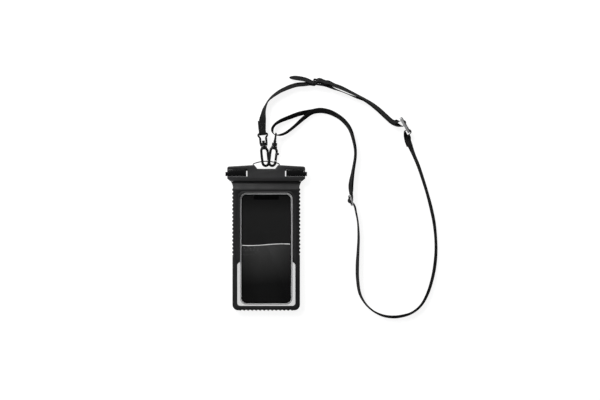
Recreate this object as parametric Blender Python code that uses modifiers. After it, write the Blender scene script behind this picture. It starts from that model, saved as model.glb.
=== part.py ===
"""Waterproof phone case with a clamp bar, two flip locks and a webbing lanyard.

Lengths are in metres: MM turns the driving sizes below into metres. The case
lies on its back, with +X to its right, +Y towards the clamp bar and +Z out of
the clear window. The origin is under the middle of the case.
"""
import math

import bmesh
import bpy
from mathutils import Matrix, Vector

MM = 0.001

# Fits
FIT = 0.3 * MM

# Enclosed phone
PHONE_WIDTH = 73.2 * MM
PHONE_LENGTH = 155.8 * MM
PHONE_THICKNESS = 7.8 * MM
PHONE_CORNER = 9.0 * MM
PHONE_EDGE = 2.2 * MM
SCREEN_MARGIN = 1.7 * MM
SCREEN_THICKNESS = 0.8 * MM

# Pouch: rim, films and neck
FILM = 0.5 * MM
FILM_LAP = 2.5 * MM
FLANGE = 0.9 * MM
SIDE_MARGIN = 4.1 * MM
BOTTOM_MARGIN = 2.1 * MM
RIM_WIDTH = 6.5 * MM
BOTTOM_RIM = 5.9 * MM
RIM_CORNER = 8.0 * MM
RIM_EDGE = 0.9 * MM
WINDOW_CORNER = 4.0 * MM
BORDER_LENGTH = 96.6 * MM
RIB_PITCH = 5.5 * MM
RIB_DEPTH = 1.1 * MM
RIB_RUN = 93.0 * MM
GROOVE_WIDTH = 1.8 * MM
GROOVE_DEPTH = 0.5 * MM
NECK_LENGTH = 17.0 * MM
NECK_FLARE = 2.4 * MM
NECK_WAIST = 0.7 * MM
NECK_SHADOW = 2.8 * MM
TONGUE_THICKNESS = 1.2 * MM
TONGUE_DEPTH = 2.8 * MM
TONGUE_SIDE = 3.0 * MM

# Clamp bar
BAR_LENGTH = 109.0 * MM
BAR_HEIGHT = 22.5 * MM
BAR_THICKNESS = 12.8 * MM
BAR_DROP = 2.1 * MM
BAR_CORNER = 2.6 * MM
BAR_EDGE = 1.2 * MM
CHAMFER_WIDTH = 4.1 * MM
CHAMFER_HEIGHT = 3.4 * MM
LIP_SLOPE_HEIGHT = 3.2 * MM
LIP_SLOPE_DEPTH = 2.6 * MM
NOTCH_TOP = 33.4 * MM
NOTCH_BOTTOM = 25.0 * MM
NOTCH_DEPTH = 5.3 * MM
SEAL_HEIGHT = 1.8 * MM
SEAL_THICKNESS = 1.2 * MM

# Flip locks
LOCK_TOP_RAIL = 5.3 * MM
LOCK_OPENING = 10.7 * MM
LOCK_LENGTH = 24.7 * MM
LOCK_SLIT = 1.6 * MM
CHEEK = 1.6 * MM
BARREL_RADIUS = 2.0 * MM
BARREL_SINK = 0.4 * MM
LOCK_PIN_RADIUS = 0.7 * MM
LOCK_PIN_HOLD = 3.2 * MM
PLATE_THICKNESS = 1.4 * MM
CLAW_WIDTH = 9.0 * MM
CLAW_STEM = 1.9 * MM
CLAW_REACH = 7.7 * MM
CLAW_TIP = 1.5 * MM
CLAW_HOOK = 1.5 * MM
NUB_LENGTH = 2.5 * MM
NUB_HEIGHT = 5.9 * MM
NUB_THICKNESS = 2.4 * MM

# Lanyard bail: a wire bridge over the notch
BAIL_WIRE = 1.5 * MM
BAIL_SPAN = 36.4 * MM
BAIL_RISE = 5.9 * MM
BAIL_ROOT = 4.0 * MM
BAIL_LEVEL = 7.7 * MM

# Snap hooks
HOOK_WIRE = 3.6 * MM
HOOK_HALF = 5.2 * MM
HOOK_TILT = 34.0
HOOK_NOSE = 2.0 * MM
HOOK_PIVOT = 15.6 * MM
HOOK_SHOULDER = 20.5 * MM
HOOK_NECK = 4.2 * MM
STEM_RADIUS = 1.2 * MM
STEM_HEAD = 2.0 * MM
STEM_HEAD_LENGTH = 2.8 * MM
COLLAR_RADIUS = 3.6 * MM
COLLAR_LENGTH = 4.6 * MM
EYE_HEIGHT = 40.0 * MM
EYE_WIRE = 2.0 * MM
EYE_LEG = 1.5 * MM
EYE_WAIST = 4.2 * MM
GATE_PIN_RADIUS = 0.45 * MM
GATE_TONGUE = 0.9 * MM
GATE_NUB = 1.6 * MM
LEFT_HOOK = (-0.9, 102.7, 6.0, 0.0)
RIGHT_HOOK = (8.4, 102.7, -7.4, 90.0)

# Webbing and its sliders
WEBBING_WIDTH = 10.0 * MM
WEBBING_THICKNESS = 1.0 * MM
WEBBING_STEP = 6.0 * MM
WEBBING_PLY = 0.8
TAIL_POINT = 9.0 * MM
SLIDER_WIDTH = 14.0 * MM

# What follows from the driving sizes
CASE_LENGTH = (BAIL_RISE + BAR_HEIGHT + NECK_LENGTH + PHONE_LENGTH
               + BOTTOM_MARGIN + BOTTOM_RIM)
Y_BOTTOM = -CASE_LENGTH / 2
Y_WINDOW_BOTTOM = Y_BOTTOM + BOTTOM_RIM
Y_PHONE_BOTTOM = Y_WINDOW_BOTTOM + BOTTOM_MARGIN
Y_PHONE_TOP = Y_PHONE_BOTTOM + PHONE_LENGTH
Y_WINDOW_TOP = Y_PHONE_TOP + FIT
Y_BAR_BOTTOM = Y_PHONE_TOP + NECK_LENGTH
Y_BAR_TOP = Y_BAR_BOTTOM + BAR_HEIGHT
Y_SHOULDER = Y_BAR_BOTTOM - FIT

HALF_BORDER = PHONE_WIDTH / 2 + FIT
HALF_WINDOW = PHONE_WIDTH / 2 + SIDE_MARGIN
HALF_FILM = HALF_WINDOW + FILM_LAP
HALF_POUCH = HALF_WINDOW + RIM_WIDTH
HALF_NECK = HALF_POUCH + NECK_FLARE
HALF_TONGUE = HALF_POUCH + NECK_FLARE - TONGUE_SIDE
HALF_BAR = BAR_LENGTH / 2

RIM_THICKNESS = 2 * (FLANGE + FIT + FILM + FIT) + PHONE_THICKNESS
Z_SEAM = RIM_THICKNESS / 2
SEAM = FIT / 2
FILM_INSET = FLANGE + FIT

LOCK_OUTER = HALF_BAR - CHEEK
LOCK_INNER = LOCK_OUTER - FIT - LOCK_LENGTH - LOCK_SLIT
Y_LOCK_TOP = Y_BAR_TOP - LOCK_TOP_RAIL
Y_LOCK_BOTTOM = Y_LOCK_TOP - LOCK_OPENING
Y_AXIS = Y_LOCK_TOP - FIT - BARREL_RADIUS
Z_AXIS = BAR_THICKNESS - BARREL_SINK - BARREL_RADIUS

FLAT = Matrix.Identity(4)
ALONG_X = Matrix(((0, 0, 1, 0), (1, 0, 0, 0), (0, 1, 0, 0), (0, 0, 0, 1)))


def start_scene():
    """Remove what the scene holds and make the two collections."""
    for item in list(bpy.data.objects):
        bpy.data.objects.remove(item)
    made = []
    for name in ("waterproof_phone_case", "cutters"):
        group = bpy.data.collections.new(name)
        bpy.context.scene.collection.children.link(group)
        made.append(group)
    return made


CASE, CUTTERS = start_scene()


def finish(name, colour, roughness, metallic=0.0, alpha=1.0):
    """A Principled material."""
    made = bpy.data.materials.new(name)
    made.use_nodes = True
    shader = made.node_tree.nodes["Principled BSDF"]
    shader.inputs["Base Color"].default_value = (*colour, 1.0)
    shader.inputs["Roughness"].default_value = roughness
    shader.inputs["Metallic"].default_value = metallic
    shader.inputs["Alpha"].default_value = alpha
    made.diffuse_color = (*colour, alpha)
    return made


CHARCOAL = finish("charcoal_plastic", (0.045, 0.045, 0.047), 0.42)
BLACK = finish("black_plastic", (0.012, 0.012, 0.013), 0.35)
RUBBER = finish("black_rubber", (0.02, 0.02, 0.021), 0.6)
CLEAR = finish("clear_film", (0.9, 0.92, 0.93), 0.08, 0.0, 0.25)
SILICONE = finish("grey_silicone", (0.3, 0.3, 0.3), 0.6)
STEEL = finish("dark_steel", (0.1, 0.1, 0.1), 0.35, 1.0)
SATIN = finish("grey_satin_metal", (0.28, 0.28, 0.29), 0.4, 1.0)
SILVER = finish("phone_frame", (0.45, 0.45, 0.46), 0.3, 1.0)
GLASS = finish("phone_glass", (0.01, 0.01, 0.012), 0.08)
WEBBING = finish("black_webbing", (0.018, 0.018, 0.019), 0.85)


def weld(mesh):
    """Close a mesh whose caps are loose, and point its faces outwards."""
    work = bmesh.new()
    work.from_mesh(mesh)
    bmesh.ops.remove_doubles(work, verts=work.verts, dist=0.00001)
    flat = math.radians(0.5)
    bmesh.ops.dissolve_limit(work, angle_limit=flat, verts=work.verts, edges=work.edges)
    bmesh.ops.recalc_face_normals(work, faces=work.faces)
    work.to_mesh(mesh)
    work.free()


def solid(name, curve_object, material):
    """Replace a curve object by a closed mesh object in the same place."""
    CASE.objects.link(curve_object)
    bpy.context.view_layer.update()
    graph = bpy.context.evaluated_depsgraph_get()
    mesh = bpy.data.meshes.new_from_object(curve_object.evaluated_get(graph))
    weld(mesh)
    place = curve_object.matrix_world.copy()
    bpy.data.objects.remove(curve_object)
    mesh.name = name
    mesh.materials.clear()
    mesh.materials.append(material)
    made = bpy.data.objects.new(name, mesh)
    made.matrix_world = place
    CASE.objects.link(made)
    return made


def slab(name, outlines, low, high, material, turn=FLAT):
    """A flat outline, with any holes, made thick from low to high along the turned Z."""
    curve = bpy.data.curves.new(name, "CURVE")
    curve.dimensions = "2D"
    curve.fill_mode = "BOTH"
    curve.extrude = (high - low) / 2
    for outline in outlines:
        spline = curve.splines.new("POLY")
        spline.points.add(len(outline) - 1)
        for point, place in zip(spline.points, outline):
            point.co = (place[0], place[1], 0.0, 1.0)
        spline.use_cyclic_u = True
    item = bpy.data.objects.new(name, curve)
    item.matrix_world = turn @ Matrix.Translation((0.0, 0.0, (low + high) / 2))
    return solid(name, item, material)


def wire(name, points, radius, material, turn=FLAT, sides=3):
    """A round bar along a run of points, with flat ends."""
    curve = bpy.data.curves.new(name, "CURVE")
    curve.dimensions = "3D"
    curve.bevel_depth = radius
    curve.bevel_resolution = sides
    curve.resolution_u = 1
    curve.use_fill_caps = True
    spline = curve.splines.new("POLY")
    spline.points.add(len(points) - 1)
    for point, place in zip(spline.points, points):
        point.co = (*place, 1.0)
    item = bpy.data.objects.new(name, curve)
    item.matrix_world = turn
    return solid(name, item, material)


def rod(name, radius, start, end, material, segments=24):
    """A straight cylinder between two points."""
    span = Vector(end) - Vector(start)
    mesh = bpy.data.meshes.new(name)
    work = bmesh.new()
    bmesh.ops.create_cone(work, cap_ends=True, segments=segments, radius1=radius,
                          radius2=radius, depth=span.length)
    work.to_mesh(mesh)
    work.free()
    mesh.materials.append(material)
    made = bpy.data.objects.new(name, mesh)
    turn = span.to_track_quat("Z", "Y").to_matrix().to_4x4()
    made.matrix_world = Matrix.Translation((Vector(start) + Vector(end)) / 2) @ turn
    CASE.objects.link(made)
    return made


def block(name, low, high, material=BLACK):
    """A box from its lowest to its highest corner."""
    low = Vector(low)
    high = Vector(high)
    mesh = bpy.data.meshes.new(name)
    work = bmesh.new()
    bmesh.ops.create_cube(work, size=1.0)
    bmesh.ops.scale(work, vec=high - low, verts=work.verts)
    bmesh.ops.translate(work, vec=(low + high) / 2, verts=work.verts)
    work.to_mesh(mesh)
    work.free()
    mesh.materials.append(material)
    made = bpy.data.objects.new(name, mesh)
    CASE.objects.link(made)
    return made


def combine(target, tool, operation="DIFFERENCE"):
    """Cut target with tool, or join tool to it, and file the tool as a cutter."""
    change = target.modifiers.new(tool.name, "BOOLEAN")
    change.operation = operation
    change.object = tool
    for group in list(tool.users_collection):
        group.objects.unlink(tool)
    CUTTERS.objects.link(tool)
    tool.hide_render = True
    tool.display_type = "WIRE"


def bevel_rim(item, level, width, segments):
    """Round the outer edges of item that lie at one height of its own mesh."""
    work = bmesh.new()
    work.from_mesh(item.data)
    near = 0.00002
    chosen = []
    for edge in work.edges:
        at_level = all(abs(vert.co.z - level) < near for vert in edge.verts)
        if at_level and edge.calc_face_angle(0.0) > 0.5:
            chosen.append(edge)
    bmesh.ops.bevel(work, geom=chosen, offset=width, segments=segments, profile=0.5,
                    affect="EDGES", clamp_overlap=True)
    work.to_mesh(item.data)
    work.free()


def set_origin(item, place):
    """Move an unturned object's origin to place, and leave its mesh where it is."""
    shift = Vector(place) - item.matrix_world.translation
    item.data.transform(Matrix.Translation(-(item.matrix_world.to_3x3().inverted() @ shift)))
    item.location = Vector(place)


def arc(centre, radius, start, end, steps):
    """Points of an arc, in degrees, both ends included."""
    points = []
    for step in range(steps + 1):
        angle = math.radians(start + (end - start) * step / steps)
        x = centre[0] + radius * math.cos(angle)
        y = centre[1] + radius * math.sin(angle)
        points.append((x, y))
    return points


def rounded_box(low, high, radius, steps=5):
    """A rectangle with round corners."""
    points = []
    corners = ((high[0], high[1], 0), (low[0], high[1], 90), (low[0], low[1], 180),
               (high[0], low[1], 270))
    for x, y, start in corners:
        centre_x = x - radius if x == high[0] else x + radius
        centre_y = y - radius if y == high[1] else y + radius
        points += arc((centre_x, centre_y), radius, start, start + 90, steps)
    return points


def mirrored(right_side):
    """A closed outline from its right side, listed from top to bottom."""
    return right_side + [(-x, y) for x, y in reversed(right_side)]


def ribs(start, end, inwards):
    """Rounded ribs along a straight edge: valleys are RIB_DEPTH inwards of it."""
    start = Vector(start)
    end = Vector(end)
    count = max(1, round((end - start).length / RIB_PITCH))
    points = []
    for step in range(4 * count):
        share = step / (4 * count)
        bow = 0.94 + 0.06 * math.sin(math.pi * share)
        sunk = RIB_DEPTH * bow * (1 - abs(math.sin(math.pi * step / 4)))
        place = start.lerp(end, share) + Vector(inwards) * sunk
        points.append((place.x, place.y))
    return points


def pouch_outline():
    """The pouch's edge: tongue, flared neck, ribbed sides and ribbed bottom."""
    y_tongue = Y_BAR_BOTTOM + TONGUE_DEPTH
    y_rib_top = Y_PHONE_TOP + NECK_LENGTH * 0.45
    waist = HALF_POUCH - NECK_WAIST
    side = [(HALF_TONGUE, y_tongue), (HALF_TONGUE, Y_SHOULDER), (HALF_NECK, Y_SHOULDER)]
    flare = Y_SHOULDER - y_rib_top
    for step in range(1, 7):
        share = step / 6
        x = waist + (HALF_NECK - waist) * (1 - share) ** 1.8
        side.append((x, Y_SHOULDER - flare * share))
    side += ribs((HALF_POUCH, y_rib_top), (HALF_POUCH, y_rib_top - RIB_RUN), (-1, 0))[1:]
    side.append((HALF_POUCH - RIB_DEPTH, y_rib_top - RIB_RUN))
    side.append((HALF_POUCH, y_rib_top - RIB_RUN - RIB_PITCH / 4))
    corner = (HALF_POUCH - RIM_CORNER, Y_BOTTOM + RIM_CORNER)
    side += arc(corner, RIM_CORNER, 0, -90, 5)
    bottom = ribs((corner[0], Y_BOTTOM), (-corner[0], Y_BOTTOM), (0, 1))[1:]
    return side + bottom + [(-x, y) for x, y in reversed(side)]


def window_outline():
    """The clear opening: narrow beside the phone's upper part, wider below."""
    y_step = Y_WINDOW_TOP - BORDER_LENGTH
    step = HALF_WINDOW - HALF_BORDER
    corner = PHONE_CORNER
    right = arc((HALF_BORDER - corner, Y_WINDOW_TOP - corner), corner, 90, 0, 5)
    right += [(HALF_BORDER, y_step), (HALF_WINDOW - step * 0.4, y_step - step * 0.4)]
    right.append((HALF_WINDOW, y_step - step))
    low = (HALF_WINDOW - WINDOW_CORNER, Y_WINDOW_BOTTOM + WINDOW_CORNER)
    right += arc(low, WINDOW_CORNER, 0, -90, 4)
    return mirrored(right)


def neck_profiles():
    """Side views of the neck above the seam: what is cut off outside, and the hollow."""
    rise = RIM_THICKNESS / 2
    tongue = SEAM + TONGUE_THICKNESS
    y_full = Y_PHONE_TOP + NECK_LENGTH * 0.31
    y_low = Y_BAR_BOTTOM - NECK_SHADOW
    y_high = Y_BAR_TOP
    outside = [(y_high, tongue), (y_low, tongue), (y_low - 1.0 * MM, tongue + 1.0 * MM),
               (y_full, rise), (y_full, rise * 2), (y_high, rise * 2)]
    y_film_top = Y_WINDOW_TOP + FILM_LAP + FIT
    y_film_bottom = Y_WINDOW_BOTTOM - FILM_LAP - FIT
    ceiling = rise - FLANGE
    hollow = [(y_film_bottom, -rise), (y_film_bottom, ceiling), (y_film_top, ceiling),
              (y_low, SEAM + 0.6 * MM), (y_low, -rise)]
    return outside, hollow


def frame_half(name, side):
    """Front (side 1) or rear (side -1) half of the ribbed rim and its neck."""
    flip = Matrix.Translation((0, 0, Z_SEAM)) @ Matrix.Diagonal((1, 1, side, 1))
    rise = RIM_THICKNESS / 2
    low, high = sorted((Z_SEAM + side * SEAM, Z_SEAM + side * rise))
    made = slab(name, [pouch_outline()], low, high, RUBBER)
    level = (high - low) / 2 * side
    bevel_rim(made, level, RIM_EDGE, 2)
    opening = slab(name + "_opening", [window_outline()], -rise, RIM_THICKNESS * 1.5, BLACK)
    outside, hollow = neck_profiles()
    tools = []
    for label, profile, half in (("_slope", outside, HALF_NECK * 1.2),
                                 ("_hollow", hollow, HALF_FILM + FIT)):
        turned = [(y, Z_SEAM + side * z) for y, z in profile]
        tools.append(slab(name + label, [turned], -half, half, BLACK, ALONG_X))
    groove = []
    x_groove = HALF_WINDOW - GROOVE_WIDTH / 2
    y_groove = Y_WINDOW_TOP + (NECK_LENGTH - GROOVE_WIDTH) * 0.2
    y_end = Y_WINDOW_TOP - BORDER_LENGTH + SIDE_MARGIN
    radius = (GROOVE_WIDTH ** 2 / 4 + GROOVE_DEPTH ** 2) / (2 * GROOVE_DEPTH)
    z_groove = rise + radius - GROOVE_DEPTH
    turn = arc((x_groove - PHONE_CORNER, y_groove - PHONE_CORNER), PHONE_CORNER, 0, 90, 5)
    right = [(x_groove, y_end)] + turn
    for x, y in right + [(-x, y) for x, y in reversed(right)]:
        groove.append(flip @ Vector((x, y, z_groove)))
    tools.append(wire(name + "_groove", groove, radius, BLACK))
    for tool in [tools[0], tools[1], opening, tools[2]]:
        combine(made, tool)
    return made


def film(name, side):
    """A clear film welded behind the flange of one rim half."""
    low = (-HALF_FILM, Y_WINDOW_BOTTOM - FILM_LAP)
    high = (HALF_FILM, Y_WINDOW_TOP + FILM_LAP)
    outer = Z_SEAM + side * (RIM_THICKNESS / 2 - FILM_INSET)
    inner = outer - side * FILM
    outline = rounded_box(low, high, FILM_LAP)
    return slab(name, [outline], min(outer, inner), max(outer, inner), CLEAR)


def phone():
    """A plain phone that rests in the pouch: frame and cover glass."""
    back = FILM_INSET + FILM + FIT
    front = back + PHONE_THICKNESS
    low = (-PHONE_WIDTH / 2, Y_PHONE_BOTTOM)
    high = (PHONE_WIDTH / 2, Y_PHONE_TOP)
    outline = rounded_box(low, high, PHONE_CORNER, 6)
    body = slab("enclosed_phone_body", [outline], back, front, SILVER)
    bevel_rim(body, PHONE_THICKNESS / 2, SCREEN_MARGIN * 0.7, 3)
    bevel_rim(body, -PHONE_THICKNESS / 2, PHONE_EDGE, 3)
    inset = SCREEN_MARGIN + FIT
    depth = SCREEN_THICKNESS + FIT
    recess = rounded_box((low[0] + SCREEN_MARGIN, low[1] + SCREEN_MARGIN),
                         (high[0] - SCREEN_MARGIN, high[1] - SCREEN_MARGIN),
                         PHONE_CORNER - SCREEN_MARGIN, 6)
    combine(body, slab("phone_recess", [recess], front - depth, front + depth, BLACK))
    glass = rounded_box((low[0] + inset, low[1] + inset), (high[0] - inset, high[1] - inset),
                        PHONE_CORNER - inset, 6)
    slab("enclosed_phone_screen", [glass], front - SCREEN_THICKNESS, front, GLASS)


def bar_outline():
    """The clamp bar from the front, with the lanyard notch in its top edge."""
    right = [(NOTCH_BOTTOM / 2, Y_BAR_TOP - NOTCH_DEPTH), (NOTCH_TOP / 2, Y_BAR_TOP)]
    corner = (HALF_BAR - BAR_CORNER, Y_BAR_TOP - BAR_DROP - BAR_CORNER)
    right += arc(corner, BAR_CORNER, 88, 0, 4)
    right.append((HALF_BAR, Y_BAR_BOTTOM + CHAMFER_HEIGHT))
    right.append((HALF_BAR - CHAMFER_WIDTH, Y_BAR_BOTTOM))
    return mirrored(right)


def lock_windows(target, label):
    """Cut the lever windows of both ends right through a jaw."""
    for side in (-1, 1):
        x_low, x_high = sorted((side * LOCK_INNER, side * LOCK_OUTER))
        low = (x_low, Y_LOCK_BOTTOM, -BAR_THICKNESS)
        high = (x_high, Y_LOCK_TOP, 2 * BAR_THICKNESS)
        if label == "back":
            high = (x_high, Y_AXIS + CLAW_STEM * 0.25 + FIT, 2 * BAR_THICKNESS)
        combine(target, block(f"{label}_window_{side}", low, high))


def film_slot(target, side, label):
    """Cut the slot that holds the neck's tongue and the seal strip of one jaw."""
    depth = TONGUE_DEPTH + FIT + SEAL_HEIGHT + FIT
    top = max(TONGUE_THICKNESS, SEAL_THICKNESS) + SEAM + FIT
    low, high = sorted((Z_SEAM - side * SEAM, Z_SEAM + side * top))
    combine(target, block(f"{label}_slot", (-HALF_TONGUE - FIT, Y_BAR_BOTTOM - BAR_EDGE, low),
                          (HALF_TONGUE + FIT, Y_BAR_BOTTOM + depth, high)))


def cheek_cut(side):
    """What the front jaw's end cheek leaves free for the lever's thumb nub."""
    boss = BARREL_RADIUS - FIT
    floor = Z_AXIS - NUB_THICKNESS / 2 - FIT
    reach = boss + FIT + NUB_HEIGHT + FIT
    start = 180 + math.degrees(math.asin((Z_AXIS - floor) / boss))
    outline = [(Y_AXIS - reach, floor)]
    outline += arc((Y_AXIS, Z_AXIS), boss, start, 0, 10)
    outline += [(Y_AXIS + boss, 2 * BAR_THICKNESS), (Y_AXIS - reach, 2 * BAR_THICKNESS)]
    low, high = sorted((side * (LOCK_OUTER - FIT), side * (HALF_BAR + CHEEK)))
    return slab(f"cheek_cut_{side}", [outline], low, high, BLACK, ALONG_X)


def front_jaw():
    """Front half of the clamp bar."""
    low = Z_SEAM + SEAM
    made = slab("clamp_front_jaw", [bar_outline()], low, BAR_THICKNESS, CHARCOAL)
    bevel_rim(made, (BAR_THICKNESS - low) / 2, BAR_EDGE, 3)
    lock_windows(made, "front")
    film_slot(made, 1, "front")
    bottom = Y_BAR_BOTTOM
    slope = [(bottom + LIP_SLOPE_HEIGHT, BAR_THICKNESS),
             (bottom - LIP_SLOPE_HEIGHT, BAR_THICKNESS - 2 * LIP_SLOPE_DEPTH),
             (bottom - LIP_SLOPE_HEIGHT, 2 * BAR_THICKNESS),
             (bottom + LIP_SLOPE_HEIGHT, 2 * BAR_THICKNESS)]
    combine(made, slab("lip_slope", [slope], -BAR_LENGTH, BAR_LENGTH, BLACK, ALONG_X))
    for side in (-1, 1):
        combine(made, cheek_cut(side))
        start = (side * (LOCK_INNER - LOCK_PIN_HOLD - FIT), Y_AXIS, Z_AXIS)
        end = (side * (HALF_BAR + CHEEK), Y_AXIS, Z_AXIS)
        combine(made, rod(f"pin_bore_{side}", LOCK_PIN_RADIUS + FIT, start, end, BLACK))
        x_root = side * BAIL_SPAN / 2
        root = (x_root, Y_BAR_TOP - BAIL_ROOT - FIT, BAIL_LEVEL)
        out = (x_root, Y_BAR_TOP + BAIL_RISE, BAIL_LEVEL)
        combine(made, rod(f"bail_bore_{side}", BAIL_WIRE / 2 + FIT, root, out, BLACK, 16))
    return made


def back_jaw():
    """Rear half of the clamp bar, with the ledges that the claws grip."""
    high = Z_SEAM - SEAM
    made = slab("clamp_back_jaw", [bar_outline()], 0.0, high, CHARCOAL)
    bevel_rim(made, -high / 2, BAR_EDGE, 2)
    lock_windows(made, "back")
    ledge = Z_AXIS - CLAW_REACH + CLAW_TIP + FIT
    for side in (-1, 1):
        x_low, x_high = sorted((side * LOCK_INNER, side * LOCK_OUTER))
        combine(made, block(f"claw_rebate_{side}", (x_low, Y_LOCK_BOTTOM + BAR_EDGE, -BAR_EDGE),
                            (x_high, Y_LOCK_TOP, ledge)))
    film_slot(made, -1, "back")
    return made


def seal_strip(name, side):
    """Silicone strip above the tongue, pressed against its twin."""
    y_low = Y_BAR_BOTTOM + TONGUE_DEPTH + FIT
    near = Z_SEAM + side * SEAM
    far = near + side * SEAL_THICKNESS
    outline = rounded_box((-HALF_TONGUE, y_low), (HALF_TONGUE, y_low + SEAL_HEIGHT),
                          SEAL_HEIGHT * 0.4, 3)
    return slab(name, [outline], min(near, far), max(near, far), SILICONE)


def lever_profile():
    """Side view of a lever: round barrel and crowned plate."""
    reach = LOCK_OPENING - BARREL_RADIUS - 2 * FIT
    tip = Y_AXIS - reach
    crown = Z_AXIS + BARREL_RADIUS
    outer = [(Y_AXIS - reach * 0.2, crown + 0.15 * MM), (Y_AXIS - reach * 0.42, crown + 0.2 * MM),
             (Y_AXIS - reach * 0.66, crown - 0.1 * MM), (Y_AXIS - reach * 0.86, crown - 0.6 * MM)]
    edge = [(tip, crown - 1.3 * MM), (tip + 0.2 * MM, crown - 1.6 * MM - PLATE_THICKNESS / 2)]
    inner = [(y + 0.2 * MM, z - PLATE_THICKNESS) for y, z in reversed(outer[1:])]
    barrel = arc((Y_AXIS, Z_AXIS), BARREL_RADIUS, 195, 450, 18)
    return barrel + outer + edge + inner


def lock(name, side):
    """A flip lever with its claw and nub, and the pin that it turns on."""
    end = LOCK_OUTER - FIT
    start = end - LOCK_LENGTH
    low, high = sorted((side * start, side * end))
    lever = slab(name + "_lock_lever", [lever_profile()], low, high, BLACK, ALONG_X)
    claw_tip = Z_AXIS - CLAW_REACH
    front = Y_AXIS + CLAW_STEM * 0.25
    claw = [(front - CLAW_STEM, Z_AXIS), (front - CLAW_STEM, claw_tip),
            (front + CLAW_HOOK, claw_tip), (front + CLAW_HOOK, claw_tip + CLAW_TIP),
            (front, claw_tip + CLAW_TIP), (front, Z_AXIS)]
    middle = side * (start + end) / 2
    combine(lever, slab(name + "_claw", [claw], middle - CLAW_WIDTH / 2,
                        middle + CLAW_WIDTH / 2, BLACK, ALONG_X), "UNION")
    y_nub = Y_AXIS - BARREL_RADIUS - 0.1 * MM
    x_low, x_high = sorted((side * (end - LOCK_PIN_HOLD), side * (HALF_BAR + NUB_LENGTH)))
    nub = rounded_box((y_nub - NUB_HEIGHT, Z_AXIS - NUB_THICKNESS / 2),
                      (y_nub, Z_AXIS + NUB_THICKNESS / 2), NUB_THICKNESS * 0.3, 2)
    combine(lever, slab(name + "_nub", [nub], x_low, x_high, BLACK, ALONG_X), "UNION")
    bore = rod(name + "_lever_bore", LOCK_PIN_RADIUS + FIT,
               (side * (start - FIT), Y_AXIS, Z_AXIS), (side * (end + FIT), Y_AXIS, Z_AXIS), BLACK)
    combine(lever, bore)
    set_origin_turned(lever, (middle, Y_AXIS, Z_AXIS))
    rod(name + "_lock_pin", LOCK_PIN_RADIUS, (side * (LOCK_INNER - LOCK_PIN_HOLD), Y_AXIS, Z_AXIS),
        (side * (HALF_BAR - FIT), Y_AXIS, Z_AXIS), STEEL)


def set_origin_turned(item, place):
    """Put an object's origin at place and its turn into its mesh."""
    item.data.transform(Matrix.Translation(-Vector(place)) @ item.matrix_world)
    item.matrix_world = Matrix.Translation(place)


def bail():
    """The thin wire that closes the notch, rooted in the front jaw."""
    half = BAIL_SPAN / 2
    foot = Y_BAR_TOP + BAIL_WIRE
    rise = Y_BAR_TOP + BAIL_RISE - BAIL_WIRE / 2 - foot
    radius = (half ** 2 + rise ** 2) / (2 * rise)
    sweep = math.degrees(math.asin(half / radius))
    bow = arc((0.0, foot + rise - radius), radius, 90 + sweep * 0.94, 90 - sweep * 0.94, 20)
    root = Y_BAR_TOP - BAIL_ROOT
    bend = BAIL_WIRE * 0.2
    left = [(-half, root), (-half, foot - bend * 2), (-half + bend, foot)]
    right = [(-x, y) for x, y in reversed(left)]
    wire("lanyard_bail", [(x, y, BAIL_LEVEL) for x, y in left + bow + right],
         BAIL_WIRE / 2, STEEL)


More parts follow.
